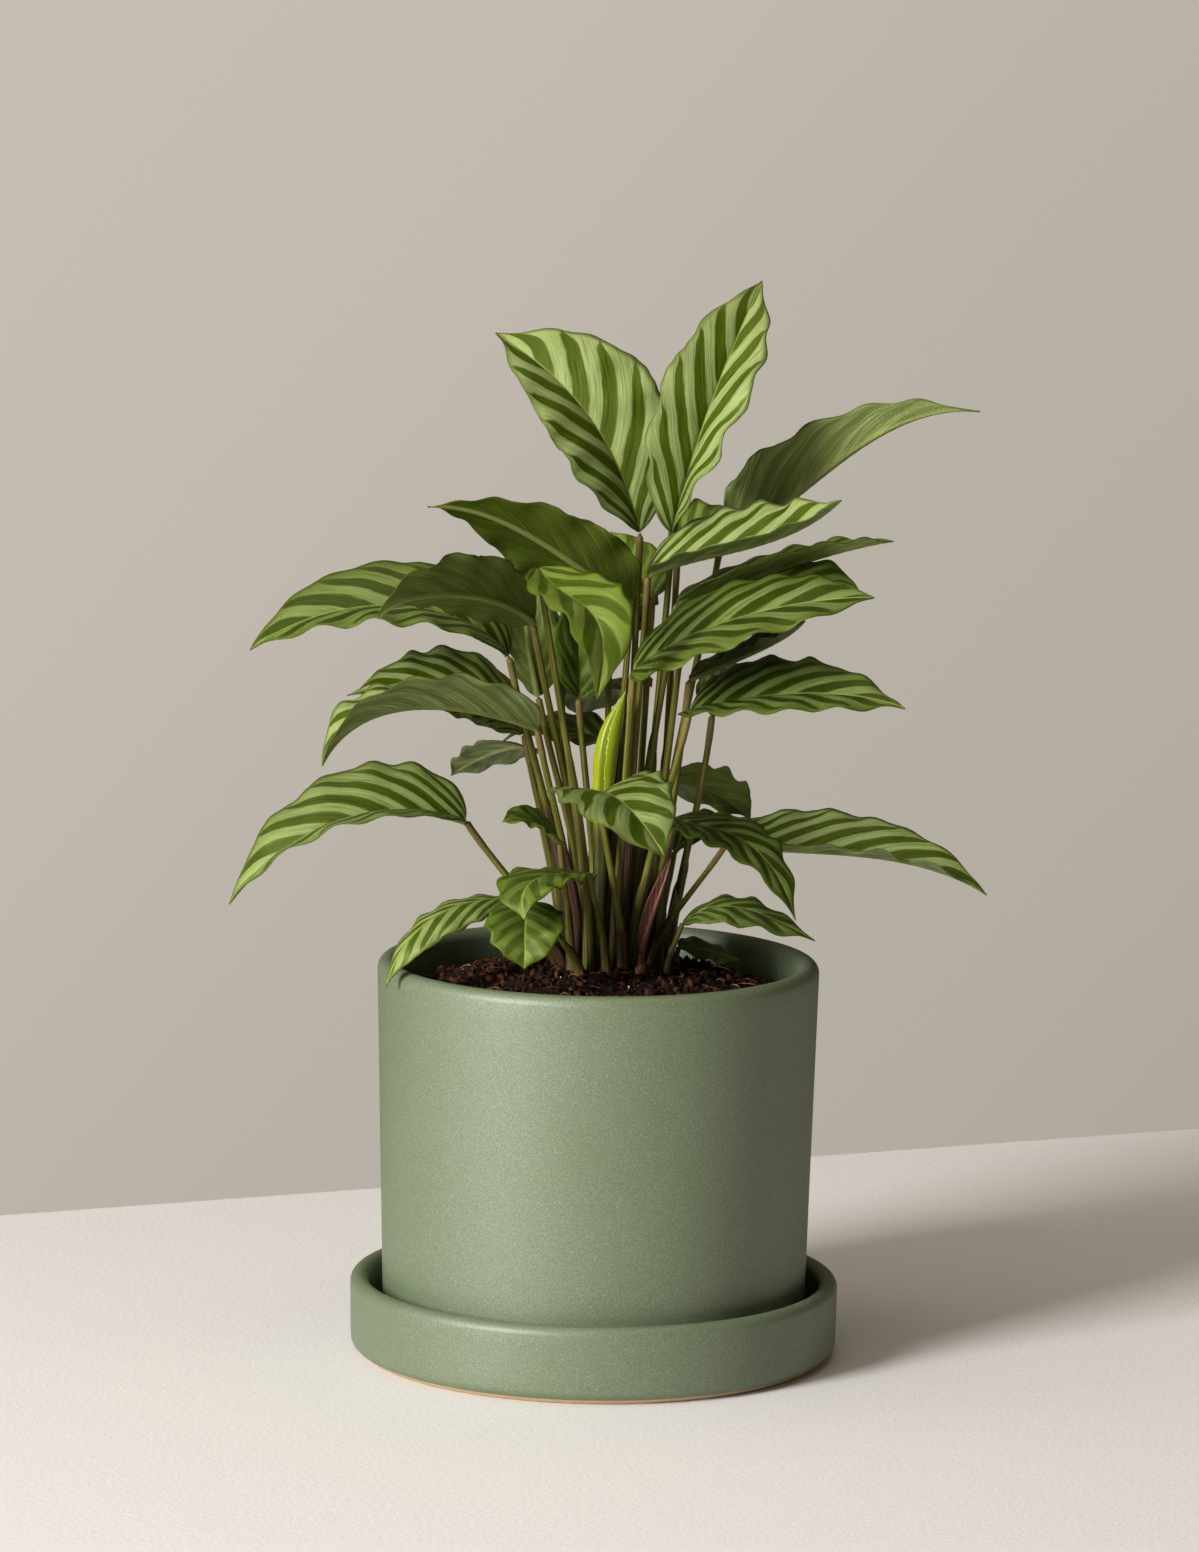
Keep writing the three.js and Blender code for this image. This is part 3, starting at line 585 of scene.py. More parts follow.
def glowing_wall_paint():
    """Matt wall paint that glows by itself instead of being lit: its colour is painted light, which fades
    to the right and towards the floor.
    """
    material, tree = new_material("glowing_wall_with_painted_light")
    place = add_node(tree, "TexCoord").outputs["Object"]
    away = add_node(tree, "VectorMath", {0: place, 1: (0.3, 0, -0.25)}, operation="DOT_PRODUCT")
    shade = add_node(tree, "Math", {0: away.outputs["Value"], 1: 0.5}, operation="ADD")
    # The glow is painted light: brightest at the left and top, darker to the right and towards the floor.
    painted_light_fade = add_node(tree, "ValToRGB", {"Fac": shade.outputs["Value"]}, ramp=[
        (0.0, linear("#cbc2b7")), (1.0, linear("#a8a095")), (0.25, linear("#c7beb3")),
        (0.43, linear("#c2b9af")), (0.58, linear("#b9b2a7")), (0.78, linear("#b4ada2"))])
    tinted = add_node(tree, "Mix", {
        "Factor": 1.0, "A": painted_light_fade.outputs["Color"], "B": bpy.context.scene.plant_stage.wall},
        data_type="RGBA", blend_type="MULTIPLY")
    return finish_material(material, {
        "Base Color": linear("#000000"), "Roughness": 1.0, "Specular IOR Level": 0.0,
        "Emission Color": tinted.outputs[2], "Emission Strength": 1.0})


# Pieces


def new_bmesh():
    """A bmesh that carries the fields which the plant's materials read."""
    bm = bmesh.new()
    for layer in FIELD_LAYERS:
        bm.verts.layers.float_vector.new(layer)
    return bm


def linked_object(name, bm, materials, smooth):
    """Turns a bmesh into an object of the scene."""
    for face in bm.faces:
        face.smooth = smooth
    mesh = bpy.data.meshes.new(name)
    bm.to_mesh(mesh)
    bm.free()
    for material in materials:
        mesh.materials.append(material)
    made = bpy.data.objects.new(name, mesh)
    bpy.context.scene.collection.objects.link(made)
    return made


def make_piece(name, bm, materials, slot, nodes=()):
    """Turns a bmesh into a smooth piece that rides on the body and stands for its CAD nodes."""
    bmesh.ops.recalc_face_normals(bm, faces=bm.faces)
    piece = linked_object(name, bm, materials, smooth=True)
    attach(piece, BODY)
    if nodes:
        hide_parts(*nodes)


def turned(profile, steps):
    """Spins a profile of radii and heights once round the Z axis."""
    bm = new_bmesh()
    verts = [bm.verts.new((radius, 0, height)) for radius, height in profile]
    edges = [bm.edges.new(pair) for pair in zip(verts, verts[1:])]
    bmesh.ops.spin(bm, geom=verts + edges, cent=(0, 0, 0), axis=UP, angle=math.tau, steps=steps,
                   use_merge=True)
    bmesh.ops.remove_doubles(bm, verts=bm.verts, dist=0.01 * MM)
    return bm


def arc(centre, radius, start, end, steps):
    """Profile points on an arc, with angles in degrees from straight out."""
    angles = [math.radians(blend(start, end, i / steps)) for i in range(steps + 1)]
    return [(centre[0] + radius * math.cos(a), centre[1] + radius * math.sin(a)) for a in angles]


def straight(start, end, steps):
    """Points on the way from start to end, without the ends themselves."""
    shares = [i / steps for i in range(1, steps)]
    return [(blend(start[0], end[0], s), blend(start[1], end[1], s)) for s in shares]


BARE_FOOT_HEIGHT = 1.2 * MM


def saucer_profile(wall):
    """A flat foot, a rounded heel, an upright wall with a round lip, and a flat floor with a cove."""
    foot = SAUCER_RADIUS - 5.5 * MM
    floor = POT_BASE
    lip = wall / 2
    cove = 4 * MM
    inner = SAUCER_RADIUS - wall
    heel_centre = (SAUCER_RADIUS - 4.6 * MM, 5.6 * MM)
    heel_radius = 4.2 * MM
    wall_foot = (SAUCER_RADIUS - 0.3 * MM, 6 * MM)
    return [
        (0, 0),
        (foot * 0.5, 0),
        (foot, 0),
        (foot + 1.0 * MM, 0.35 * MM),
        *arc(heel_centre, heel_radius, -62, -4, 8),
        *straight(wall_foot, (SAUCER_RADIUS, SAUCER_HEIGHT - lip), 6),
        *arc((SAUCER_RADIUS - lip, SAUCER_HEIGHT - lip), lip, 0, 180, 14),
        *straight((inner, SAUCER_HEIGHT - lip), (inner, floor + cove), 5),
        *arc((inner - cove, floor + cove), cove, 0, -90, 8),
        (inner * 0.5, floor),
        (0, floor),
    ]


POT_BASE_RADIUS = 79.1 * MM
POT_FLOOR_THICKNESS = 9 * MM
DRAIN_RADIUS = 7 * MM


def pot_inner_radius(height, wall):
    share = (height - POT_BASE) / (POT_TOP - POT_BASE)
    return blend(POT_BASE_RADIUS, POT_RADIUS, share) - wall


def pot_profile(wall):
    """A foot ring, a wall that opens slightly, a round lip, and a floor with a drain hole."""
    lip = wall / 2
    foot_height = 2 * MM
    foot_width = 18 * MM
    heel = 3 * MM
    cove = 5 * MM
    floor = POT_BASE + POT_FLOOR_THICKNESS
    foot_outer = POT_BASE_RADIUS - heel
    foot_inner = foot_outer - foot_width
    low_inner = pot_inner_radius(floor + cove, wall)
    closed = [
        (DRAIN_RADIUS, POT_BASE + foot_height),
        (foot_inner - foot_height, POT_BASE + foot_height),
        (foot_inner, POT_BASE),
        (foot_outer, POT_BASE),
        *arc((foot_outer, POT_BASE + heel), heel, -80, 0, 6),
        *straight((POT_BASE_RADIUS, POT_BASE + heel), (POT_RADIUS, POT_TOP - lip), 22),
        *arc((POT_RADIUS - lip, POT_TOP - lip), lip, 0, 180, 16),
        *straight((POT_RADIUS - wall, POT_TOP - lip), (low_inner, floor + cove), 14),
        *arc((low_inner - cove, floor + cove), cove, 0, -90, 6),
        (DRAIN_RADIUS, floor),
    ]
    return closed + [closed[0]]


# Soil

SOIL_CENTRE = 148 * MM
SOIL_AT_WALL = 133 * MM
SOIL_GAP = 0.5 * MM

# Least and most, in millimetres
CRUMB_RADIUS = (0.3, 1.7)
GRIT_RADIUS = (0.25, 0.7)
FIBRE_LENGTH = (4, 12)
FIBRE_RISE = (0.4, 2.2)
FIBRE_RADIUS = (0.09, 0.18)


def soil_height(x, y, wall):
    share = (x * x + y * y) / pot_inner_radius(SOIL_AT_WALL, wall) ** 2
    return blend(SOIL_CENTRE, SOIL_AT_WALL, share)


def soil_relief(x, y):
    """Lumps of the mound, in metres: broad ones, then crumbs pressed into the surface."""
    broad = math.sin(210 * x + 1.3) * math.cos(240 * y + 0.4) + 0.6 * math.sin(470 * x + 390 * y)
    rough = noise.fractal(Vector((x, y, 0)) * 170, 0.8, 2.1, 4)
    crumbly = abs(noise.noise(Vector((x, y, 0.3)) * 520))
    return (0.7 * broad + 1.5 * rough + 1.6 * crumbly) * MM


def soil_bed(wall):
    """A block of potting mix that fills the pot, with its crumbly mound on top."""
    steps = 220
    top_rings = 70
    floor = POT_BASE + POT_FLOOR_THICKNESS + 0.05 * MM
    cove = 6 * MM
    rim = pot_inner_radius(SOIL_AT_WALL, wall) - SOIL_GAP
    low = pot_inner_radius(floor + cove, wall) - SOIL_GAP
    profile = [
        (0, floor),
        (low - cove, floor),
        (low, floor + cove),
        *straight((low, floor + cove), (rim, SOIL_AT_WALL - 3 * MM), 8),
        *[(rim * (1 - i / top_rings), soil_height(rim * (1 - i / top_rings), 0, wall))
          for i in range(top_rings + 1)],
    ]
    bm = turned(profile, steps)
    for vert in bm.verts:
        radius = math.hypot(vert.co.x, vert.co.y)
        if vert.co.z > SOIL_AT_WALL - 1 * MM:
            settle = 1 - 0.6 * ease(0.9, 1.0, radius / rim)
            vert.co.z += soil_relief(vert.co.x, vert.co.y) * settle
    return bm


def on_soil(draw, wall, margin):
    """A seeded place on the soil's surface, no closer to the wall than margin."""
    reach = (pot_inner_radius(SOIL_AT_WALL, wall) - margin) * math.sqrt(draw.random())
    turn = draw.uniform(0, math.tau)
    x, y = reach * math.cos(turn), reach * math.sin(turn)
    return Vector((x, y, soil_height(x, y, wall) + soil_relief(x, y)))


def random_turn(draw):
    """A seeded rotation, even over all directions."""
    axis = Vector((draw.gauss(0, 1), draw.gauss(0, 1), draw.gauss(0, 1))).normalized()
    return Quaternion(axis, draw.uniform(0, math.tau)).to_matrix().to_4x4()


def gathered(parts):
    """One bmesh from many small ones, which is far quicker than growing a large one bit by bit."""
    whole = new_bmesh()
    for part in parts:
        mesh = bpy.data.meshes.new("part")
        part.to_mesh(mesh)
        part.free()
        whole.from_mesh(mesh)
        bpy.data.meshes.remove(mesh)
    return whole


def crumb(draw, radii, wall):
    """A loose crumb: a small ball pulled long and turned at random, half sunk into the soil. Most are
    near the least size."""
    bm = new_bmesh()
    size = blend(*radii, draw.random() ** 2.2) * MM
    place = on_soil(draw, wall, 1.5 * MM + size) + UP * size * 0.25
    stretch = Matrix.Diagonal((draw.uniform(0.5, 0.9), draw.uniform(0.7, 1.1), draw.uniform(1, 1.9), 1))
    bmesh.ops.create_icosphere(
        bm, subdivisions=1, radius=size, matrix=Matrix.Translation(place) @ random_turn(draw) @ stretch)
    for vert in bm.verts:
        vert.co += (vert.co - place) * draw.uniform(-0.25, 0.2)
    return bm


def fibre(draw, wall):
    """A coir fibre: a thin three-sided strand that arches out of the soil and back."""
    bm = new_bmesh()
    start = on_soil(draw, wall, 9 * MM) - UP * 0.4 * MM
    length = draw.uniform(*FIBRE_LENGTH) * MM
    turn = draw.uniform(0, math.tau)
    ahead = Vector((math.cos(turn), math.sin(turn), 0))
    across = ahead.cross(UP)
    aside = across * draw.uniform(-0.3, 0.3) * length
    rise = draw.uniform(*FIBRE_RISE) * MM
    radius = draw.uniform(*FIBRE_RADIUS) * MM

    def place(around, along):
        arch = math.sin(math.pi * along)
        centre = start + ahead * length * along + aside * along ** 2 + UP * rise * arch
        thin = radius * math.sqrt(max(arch, 0))
        angle = math.tau * around
        return centre + thin * (UP * math.sin(angle) + across * math.cos(angle))

    wrap(bm, 3, 6, place)
    return bm


# The plant


def sheet(bm, columns, rows):
    """A flat grid from 0 to 1 both ways, that a formula then shapes. Returns its vertices."""
    made = bmesh.ops.create_grid(bm, x_segments=columns, y_segments=rows, size=0.5)["verts"]
    bmesh.ops.translate(bm, verts=made, vec=(0.5, 0.5, 0))
    return made


def wrap(bm, columns, rows, place, fields=None, material=0):
    """A tube: a grid wrapped round by place(around, along), with its seam and its pointed ends closed."""
    verts = sheet(bm, columns, rows)
    pattern = bm.verts.layers.float_vector["pattern"]
    spans = bm.verts.layers.float_vector["spans"]
    for vert in verts:
        around, along = vert.co.x, vert.co.y
        if fields:
            vert[pattern], vert[spans] = fields(around, along)
        vert.co = place(around, along)
    for face in {face for vert in verts for face in vert.link_faces}:
        face.material_index = material
    bmesh.ops.remove_doubles(bm, verts=verts, dist=0.004 * MM)


def curve_through(points):
    """Control points of the cubic through four points at 0, a third, two thirds and 1."""
    start, third, two_thirds, end = points
    first = (start * -5 + third * 18 - two_thirds * 9 + end * 2) / 6
    second = (end * -5 + two_thirds * 18 - third * 9 + start * 2) / 6
    return start, first, second, end


def point_on(curve, t):
    a, b, c, d = curve
    return a * (1 - t) ** 3 + b * 3 * t * (1 - t) ** 2 + c * 3 * t * t * (1 - t) + d * t ** 3


def direction_on(curve, t):
    a, b, c, d = curve
    return ((b - a) * (1 - t) ** 2 + (c - b) * 2 * t * (1 - t) + (d - c) * t * t).normalized()


# Each leaf, in millimetres and degrees, left out where it is as usual. The solids' own measures come first:
# foot is its place in the clump, by column and row. rib has four points of its midrib from base to tip.
# face is where its upper face looks. half has its left and right half widths. fold is how far each half
# folds up at its base, and tip_fold at its tip. wave is the height of its waves and waves counts them.
# shape is how fast the blade widens and narrows again, sway how far its stalk leans aside, and thick how
# stout its stalk and midrib are.
# Then its pattern: bands counts the dark bands of each half, crowding is how much closer they lie near the
# base, phase is where they start, and stagger how far the two halves are out of step. tint is how light the
# pale bands are, how faint the bands are and how lime the leaf is, each from 0 to 1.
# A tint holds painted light and shade as well as the leaf's own tone: leaves that lie in shade have darker
# pale bands, and lit ones lighter.
LEAVES = {
    "leaf_crown_left": dict(
        foot=(0, 1), rib=((13, 16, 308), (2, 15, 337), (-15, 19, 360), (-42, 32, 380)),
        face=(0.05, -0.95, 0.3), half=(22, 28), fold=(28, 12), tip_fold=(42, -5), wave=1.4,
        shape=(0.8, 0.83), bands=5.2, crowding=0.05, phase=0.3, stagger=0.08, tint=(1, 0, 0)),
    "leaf_crown_right": dict(
        foot=(1, 1), rib=((25, 4, 309), (33, 2, 341), (44, 10, 372), (57, 32, 401)),
        face=(-0.1, -0.95, 0.25), half=(20, 18), fold=(32, 78), tip_fold=(12, 5), wave=1.6,
        shape=(0.7, 0.83), bands=5.4, crowding=0.05, phase=0.3, tint=(1, 0, 0)),
    "leaf_right_high": dict(
        foot=(2, 2), rib=((44, 34, 305), (70, 30, 320), (101, 26, 344), (139, 24, 354)), face=(-0.4, 0, 1),
        half=(16, 22), fold=(70, 75), wave=1.6, shape=(0.6, 1.3), tint=(1, 0, 0.1)),
    "leaf_right_pale": dict(
        foot=(0, -1), rib=((16, -8, 295), (39, -14, 303), (64, -22, 311), (86, -32, 326)), half=(21, 19),
        fold=(45, 12), wave=1.3, bands=5, tint=(1, 0, 0)),
    "leaf_right_thin": dict(
        foot=(1, 0), rib=((27, -1, 284), (52, 2, 292), (80, 4, 301), (107, 6, 307)), half=(18, 18),
        fold=(14, 25), wave=1.3, sway=(-1, 1), tint=(1, 0.2, 0.3)),
    "leaf_right_broad": dict(
        foot=(0, -2), rib=((11, -22, 261), (35, -33, 277), (66, -44, 288), (98, -50, 292.5)), half=(26, 27),
        fold=(31, -20), wave=1.5, shape=(0.45, 0.8), bands=5.4, crowding=0.4, tint=(0.3, 0, 0)),
    "leaf_right_behind": dict(
        foot=(2, 0), rib=((29, -3, 271), (50, -2, 283), (73, -5, 292), (94, -10, 290)), half=(20, 18),
        fold=(26, 0), wave=1.5, tint=(0.2, 0.3, 0)),
    "leaf_right_middle": dict(
        foot=(1, -2), rib=((32, -20, 245), (52, -30, 252), (81, -42, 256), (110, -50, 252)), half=(24, 22),
        fold=(32, 2), wave=1.6, shape=(0.45, 1), tip_fold=(32, -26), bands=5.4, crowding=0.4,
        tint=(0.4, 0, 0)),
    "leaf_right_shaded": dict(
        foot=(2, -1), rib=((32, -6, 256), (47, -9, 263), (63, -14, 271), (74, -20, 280)), half=(15, 15),
        fold=(24, 12), wave=1.2, waves=8, sway=(0, 1.5), tint=(0.2, 0.2, 0)),
    "leaf_left_high": dict(
        foot=(-1, -1), rib=((10, -4, 284), (-10, -14, 298), (-36, -22, 314), (-65, -30, 321)),
        face=(0.25, 0.85, 0.4), half=(19, 22), fold=(10, 10), wave=1.4, shape=(0.6, 1.3), tint=(0, 0, 0)),
    "leaf_left_folded": dict(
        foot=(-2, -1), rib=((-26, -22, 278), (-42, -45, 289), (-63, -70, 293), (-81, -82, 286)),
        face=(-0.6, 0.75, 0.2), half=(16, 13), fold=(5, 35), tip_fold=(-5, 60), wave=1.4,
        tint=(0.3, 0.2, 0.1)),
    "leaf_left_broad": dict(
        foot=(-3, -1), rib=((-35, -8, 264), (-60, -12, 280), (-95, -16, 281), (-130, -20, 266)),
        half=(24, 24), fold=(-8, 38), wave=1.5, bands=5.2, tint=(0.35, 0, 0)),
    "leaf_left_behind": dict(
        foot=(-3, 0), rib=((-29, -1, 234), (-47, -5, 250), (-69, -13, 254), (-94, -22, 250)), half=(23, 19),
        fold=(-28, 42), wave=1.4, shape=(0.6, 1.1), tint=(1, 0, 0)),
    "leaf_left_middle": dict(
        foot=(-2, -2), rib=((-24, -22, 239), (-51, -40, 248), (-80, -56, 248), (-101, -66, 230)),
        half=(20, 20), fold=(36, 5), tip_fold=(50, 30), wave=1.4, tint=(1, 0, 0)),
    "leaf_left_small": dict(
        foot=(-3, 1), rib=((-28, 10, 227), (-35, 22, 225), (-46, 34, 219), (-57, 44, 211)),
        face=(0, 0.5, 0.9), half=(12, 12), fold=(0, 0), wave=1, waves=8, thick=0.8, bands=4.5,
        tint=(1, 0.5, 0)),
    "leaf_left_low": dict(
        foot=(-4, -1), rib=((-50, -10, 202), (-76, -14, 206), (-107, -18, 198), (-137, -20, 171)),
        half=(23, 23), fold=(4, 44), wave=1.4, shape=(0.5, 0.85), tint=(0.7, 0, 0)),
    "leaf_front_lime": dict(
        foot=(-2, -3), rib=((-24, -27, 299), (-12, -50, 291), (-2, -66, 283), (-2, -66, 256)),
        face=(0.1, -0.55, 0.85), half=(16, 16), fold=(15, 20), wave=1.2, waves=9, sway=(0, 5), bands=3.2,
        tint=(0.45, 0.25, 0.35)),
    "leaf_left_olive": dict(
        foot=(-2, 1), rib=((-24, 6, 247), (-27, 6, 261), (-29, 8, 276), (-29, 16, 295)),
        face=(0.2, 0.95, 0), half=(12, 8), fold=(10, 10), wave=1, waves=8, bands=4.5, tint=(0.2, 0.3, 0)),
    "leaf_middle_dark": dict(
        foot=(-1, 0), rib=((-9, 4, 247), (-9, 6, 260), (-9, 12, 278), (-3, 21, 294)), face=(0, -1, 0.2),
        half=(11, 16), fold=(40, 30), wave=1.2, waves=8, bands=4.5, tint=(0, 0.5, 0)),
    "leaf_back_left": dict(
        foot=(0, 2), rib=((8, 16, 249), (3, 33, 250), (-3, 50, 243), (-8, 64, 231)), half=(17, 17),
        fold=(-5, -5), wave=1.3, waves=9, bands=5),
    "leaf_back_shaded": dict(
        foot=(-1, 3), rib=((5, 20, 229), (-6, 30, 230), (-22, 40, 231), (-39, 50, 222)), half=(13, 13),
        fold=(-10, 20), wave=1.1, waves=8, bands=4.5, tint=(0.2, 0.3, 0)),
    "leaf_front_middle": dict(
        foot=(0, -3), rib=((-1, -22, 213), (3, -44, 218), (12, -64, 214), (23, -75, 200)),
        face=(-0.1, -0.5, 0.85), half=(20, 24), fold=(6, 22), wave=1.5, bands=4.6, tint=(0.8, 0.1, 0)),
    "leaf_front_small": dict(
        foot=(-3, -3), rib=((-15, -26, 197), (-21, -32, 203), (-28, -37, 207), (-36, -42, 207)),
        half=(9, 8), fold=(-12, 50), wave=1, waves=8, thick=0.8, bands=4, tint=(0.2, 0.6, 0)),
    "leaf_right_back": dict(
        foot=(1, 3), rib=((15, 24, 212), (30, 38, 211), (45, 50, 204), (57, 58, 194)), face=(0, 0.6, 0.8),
        half=(14, 15), fold=(5, 5), wave=1.2, waves=9, bands=5, tint=(1, 0.4, 0.3)),
    "leaf_right_hanging": dict(
        foot=(1, -1), rib=((27, -14, 205), (42, -26, 203), (58, -36, 196), (72, -42, 172)), half=(13, 13),
        fold=(18, -10), wave=1.5, waves=10, bands=5, tint=(0.4, 0.2, 0)),
    "leaf_right_long": dict(
        foot=(2, -2), rib=((47, 0, 193.5), (78, -2, 191.5), (112, -4, 188.5), (144, -6, 176.5)),
        half=(22, 18), fold=(36, 14), wave=1.4, thick=0.85, shape=(0.5, 0.85), tint=(1, 0, 0)),
    "leaf_right_low": dict(
        foot=(3, -2), rib=((31, -10, 165), (44, -14, 172), (60, -18, 170), (80, -22, 161)), half=(11, 12),
        fold=(12, -22), wave=1.2, waves=8, thick=0.7, bands=4.5, tint=(0.6, 0.3, 0)),
    "leaf_right_soil": dict(
        foot=(3, 1), rib=((30, 7, 153), (37, 10, 152), (45, 13, 149.5), (53, 16, 146.5)),
        face=(0, -0.3, 0.95), half=(8, 8), fold=(5, -5), wave=0.7, waves=6, thick=0.7, bands=4,
        tint=(0.1, 0.8, 0)),
    "leaf_front_left": dict(
        foot=(-1, -3), rib=((-4, -28, 186), (-16, -42, 188), (-26, -57, 186), (-27, -67, 175)),
        face=(0, -0.2, 1), half=(14, 15), fold=(5, -8), wave=1.2, waves=9, thick=0.8, bands=4.5,
        tint=(0.15, 0.55, 0.1)),
    "leaf_front_low": dict(
        foot=(-2, -4), rib=((-26, -40, 177), (-27, -52, 172), (-27, -60, 165), (-27, -62, 156)),
        face=(0, -0.5, 0.8), half=(14.5, 14.5), fold=(10, 10), wave=1.2, waves=8, thick=0.8, bands=4.5,
        tint=(0.3, 0.6, 0.1)),
    "leaf_over_rim": dict(
        foot=(-3, -2), rib=((-35, -20, 175), (-51, -30, 174), (-67, -38, 165), (-78, -42, 145)),
        half=(11, 6), fold=(-32, 8), wave=1.2, waves=9, thick=0.8, bands=5, tint=(1, 0.2, 0)),
    "leaf_crown_back": dict(
        foot=(2, 1), rib=((27, 14, 299), (35, 17, 309), (43, 21, 313), (50, 25, 307)), half=(13, 13),
        fold=(30, 10), wave=1, waves=8, bands=4, tint=(0.5, 0.3, 0.3)),
    "leaf_back_lime": dict(
        foot=(1, 2), rib=((18, 20, 283), (13, 30, 291), (8, 40, 298), (2, 50, 304)), half=(13, 13),
        fold=(10, 10), wave=1, waves=8, bands=4, tint=(0.5, 0.3, 0.5)),
    "leaf_left_back": dict(
        foot=(-2, 2), rib=((-16, 17, 267), (-31, 29, 277), (-47, 41, 283), (-62, 52, 283)), half=(14, 14),
        fold=(10, 10), wave=1.2, waves=9, sway=(-2, -3), bands=5),
    "leaf_back_right": dict(
        foot=(3, 2), rib=((41, 15, 240), (54, 36, 250), (66, 58, 248), (76, 80, 234)), half=(18, 18),
        fold=(12, 12), wave=1.4, waves=10, sway=(2, -2)),
    "leaf_back_middle": dict(
        foot=(-1, 1), rib=((2, 14, 262), (2, 38, 276), (4, 66, 277), (6, 92, 262)), half=(18, 18),
        fold=(12, 12), wave=1.4, waves=10),
    "leaf_back_low": dict(
        foot=(2, 3), rib=((28, 28, 186), (42, 44, 193), (56, 60, 191), (66, 74, 180)), half=(13, 13),
        fold=(12, 12), wave=1.2, waves=9, thick=0.85, bands=5),
    "sheath_red": dict(
        foot=(1, -3), rib=((16, -19, 155), (19, -19, 167), (23, -18, 179), (26, -17, 190)),
        face=(-0.6, 0.3, 0.2), half=(4.5, 4.5), fold=(35, 35), wave=0.1, waves=5, thick=0.9,
        tint=(0, 1, 0)),
    "sheath_green": dict(
        foot=(3, 0), rib=((27, 0, 152), (28, 0, 160), (29, -1, 168), (28, -2, 177)), face=(-0.6, 0.3, 0.2),
        half=(4, 4), fold=(35, 35), wave=0.1, waves=5, thick=0.9, tint=(0, 1, 0)),
}
USUAL_LEAF = dict(face=(0, 0, 1), waves=11, sway=(0, 0), thick=1, shape=(0.6, 0.83), bands=6,
                  stagger=0.2, crowding=0.35, tint=(0.5, 0, 0))
LEAF_STEP = 0.7
SHEATHS = {"sheath_red": "red_sheath", "sheath_green": "leaf"}
UPPER_MATERIAL, UNDER_MATERIAL, STALK_MATERIAL = range(3)

CLUMP_X = 6 * MM
FOOT_PITCH = 6.4 * MM
FOOT_ROW_PITCH = 5.6 * MM
FOOT_DEPTH = 14 * MM
STALK_FOOT_RADIUS = 2.5 * MM
STALK_TOP_RADIUS = 1.15 * MM
STALK_COLUMNS, STALK_ROWS = 16, 72
JOINT_LENGTH = 11 * MM
RIB_RADIUS = 1.25 * MM
MIDRIB_STEPS = 24

# Degrees by which a blade curls up along its midrib
BLADE_CURL = 24

# Shares: where on the midrib the upper face looks just as the table says, how far rows draw together
# towards both ends, how thick the margin is, how much the tip narrows, and how wide the blade is at least
FACE_PLACE = 0.4
ROW_CROWDING = 0.6
MARGIN_THICKNESS = 0.6
TIP_POINT = 0.4
LEAST_BLADE_SHARE = 0.012

# Shares of the midrib's radius: how deep its groove is above, and how far its keel stands out below
RIB_GROOVE = 0.35
RIB_KEEL = 1.1

# Shares of the stalk: how its ends close, how much its joint swells, and its lengthwise ribs
STALK_POINT = 0.01
STALK_DOME = 0.015
JOINT_SWELL = 0.12
STALK_RIBS = 5
STALK_RIB_HEIGHT = 0.025
SHEATH_FLATNESS = 0.86


def described_leaves():
    """Every leaf with its usual measures filled in, in the order of the table."""
    described = {}
    for i, (name, leaf) in enumerate(LEAVES.items()):
        usual = dict(USUAL_LEAF, mirror=1 if i % 2 else -1, seed=i * LEAF_STEP, phase=i * LEAF_STEP,
                     tip_fold=leaf["fold"])
        described[name] = {**usual, **leaf}
    return described


def foot_place(foot, wall):
    """A foot's place in the close-packed clump, where every other row is shifted by half a pitch."""
    column, row = foot
    shift = 0.5 if row % 2 else 0
    x = CLUMP_X + FOOT_PITCH * (column + shift)
    y = FOOT_ROW_PITCH * row
    return Vector((x, y, soil_height(x, y, wall)))


class Midrib:
    """A leaf's midrib and the way its upper face looks all along it."""

    def __init__(self, leaf):
        self.curve = curve_through([Vector(point) * MM for point in leaf["rib"]])
        self.middle = direction_on(self.curve, FACE_PLACE)
        face = Vector(leaf["face"])
        self.face = (face - self.middle * face.dot(self.middle)).normalized()
        steps = [point_on(self.curve, i / MIDRIB_STEPS) for i in range(MIDRIB_STEPS + 1)]
        self.length = sum((b - a).length for a, b in zip(steps, steps[1:]))

    def at(self, along):
        """Place, direction, upper side and right side at a share of the way to the tip."""
        tangent = direction_on(self.curve, along)
        up = self.middle.rotation_difference(tangent) @ self.face
        return point_on(self.curve, along), tangent, up, tangent.cross(up)


def blade_share(shape, along):
    """How wide the blade is at a share of its length, next to its widest."""
    rise, fall = shape
    peak = rise / (rise + fall)
    return (along ** rise * (1 - along) ** fall) / (peak ** rise * (1 - peak) ** fall)


def ripple(leaf, along, side):
    """Waves of the margin, in metres, more lively on some leaves."""
    swell = max(math.sin(math.pi * along), 0) ** 0.6
    beat = math.sin(math.pi * leaf["waves"] * along)
    uneven = 0.75 + 0.25 * math.sin(5.1 * along + side * leaf["seed"])
    lean = 1 if side < 0 else leaf["mirror"]
    return leaf["wave"] * swell * beat * uneven * lean * MM


def scallop(leaf, along, side):
    """Bulges of the outline, out of step with the waves, in metres."""
    swell = max(math.sin(math.pi * along), 0) ** 0.6
    drift = 0.05 * math.sin(7 * along + leaf["seed"] * side)
    beat = math.sin(math.pi * leaf["waves"] * (along + drift) + 1.9 + side * leaf["seed"])
    fine = 0.2 * math.sin(2.3 * math.pi * leaf["waves"] * (along - drift) + leaf["seed"])
    return 0.6 * leaf["wave"] * swell * (beat + fine) * MM


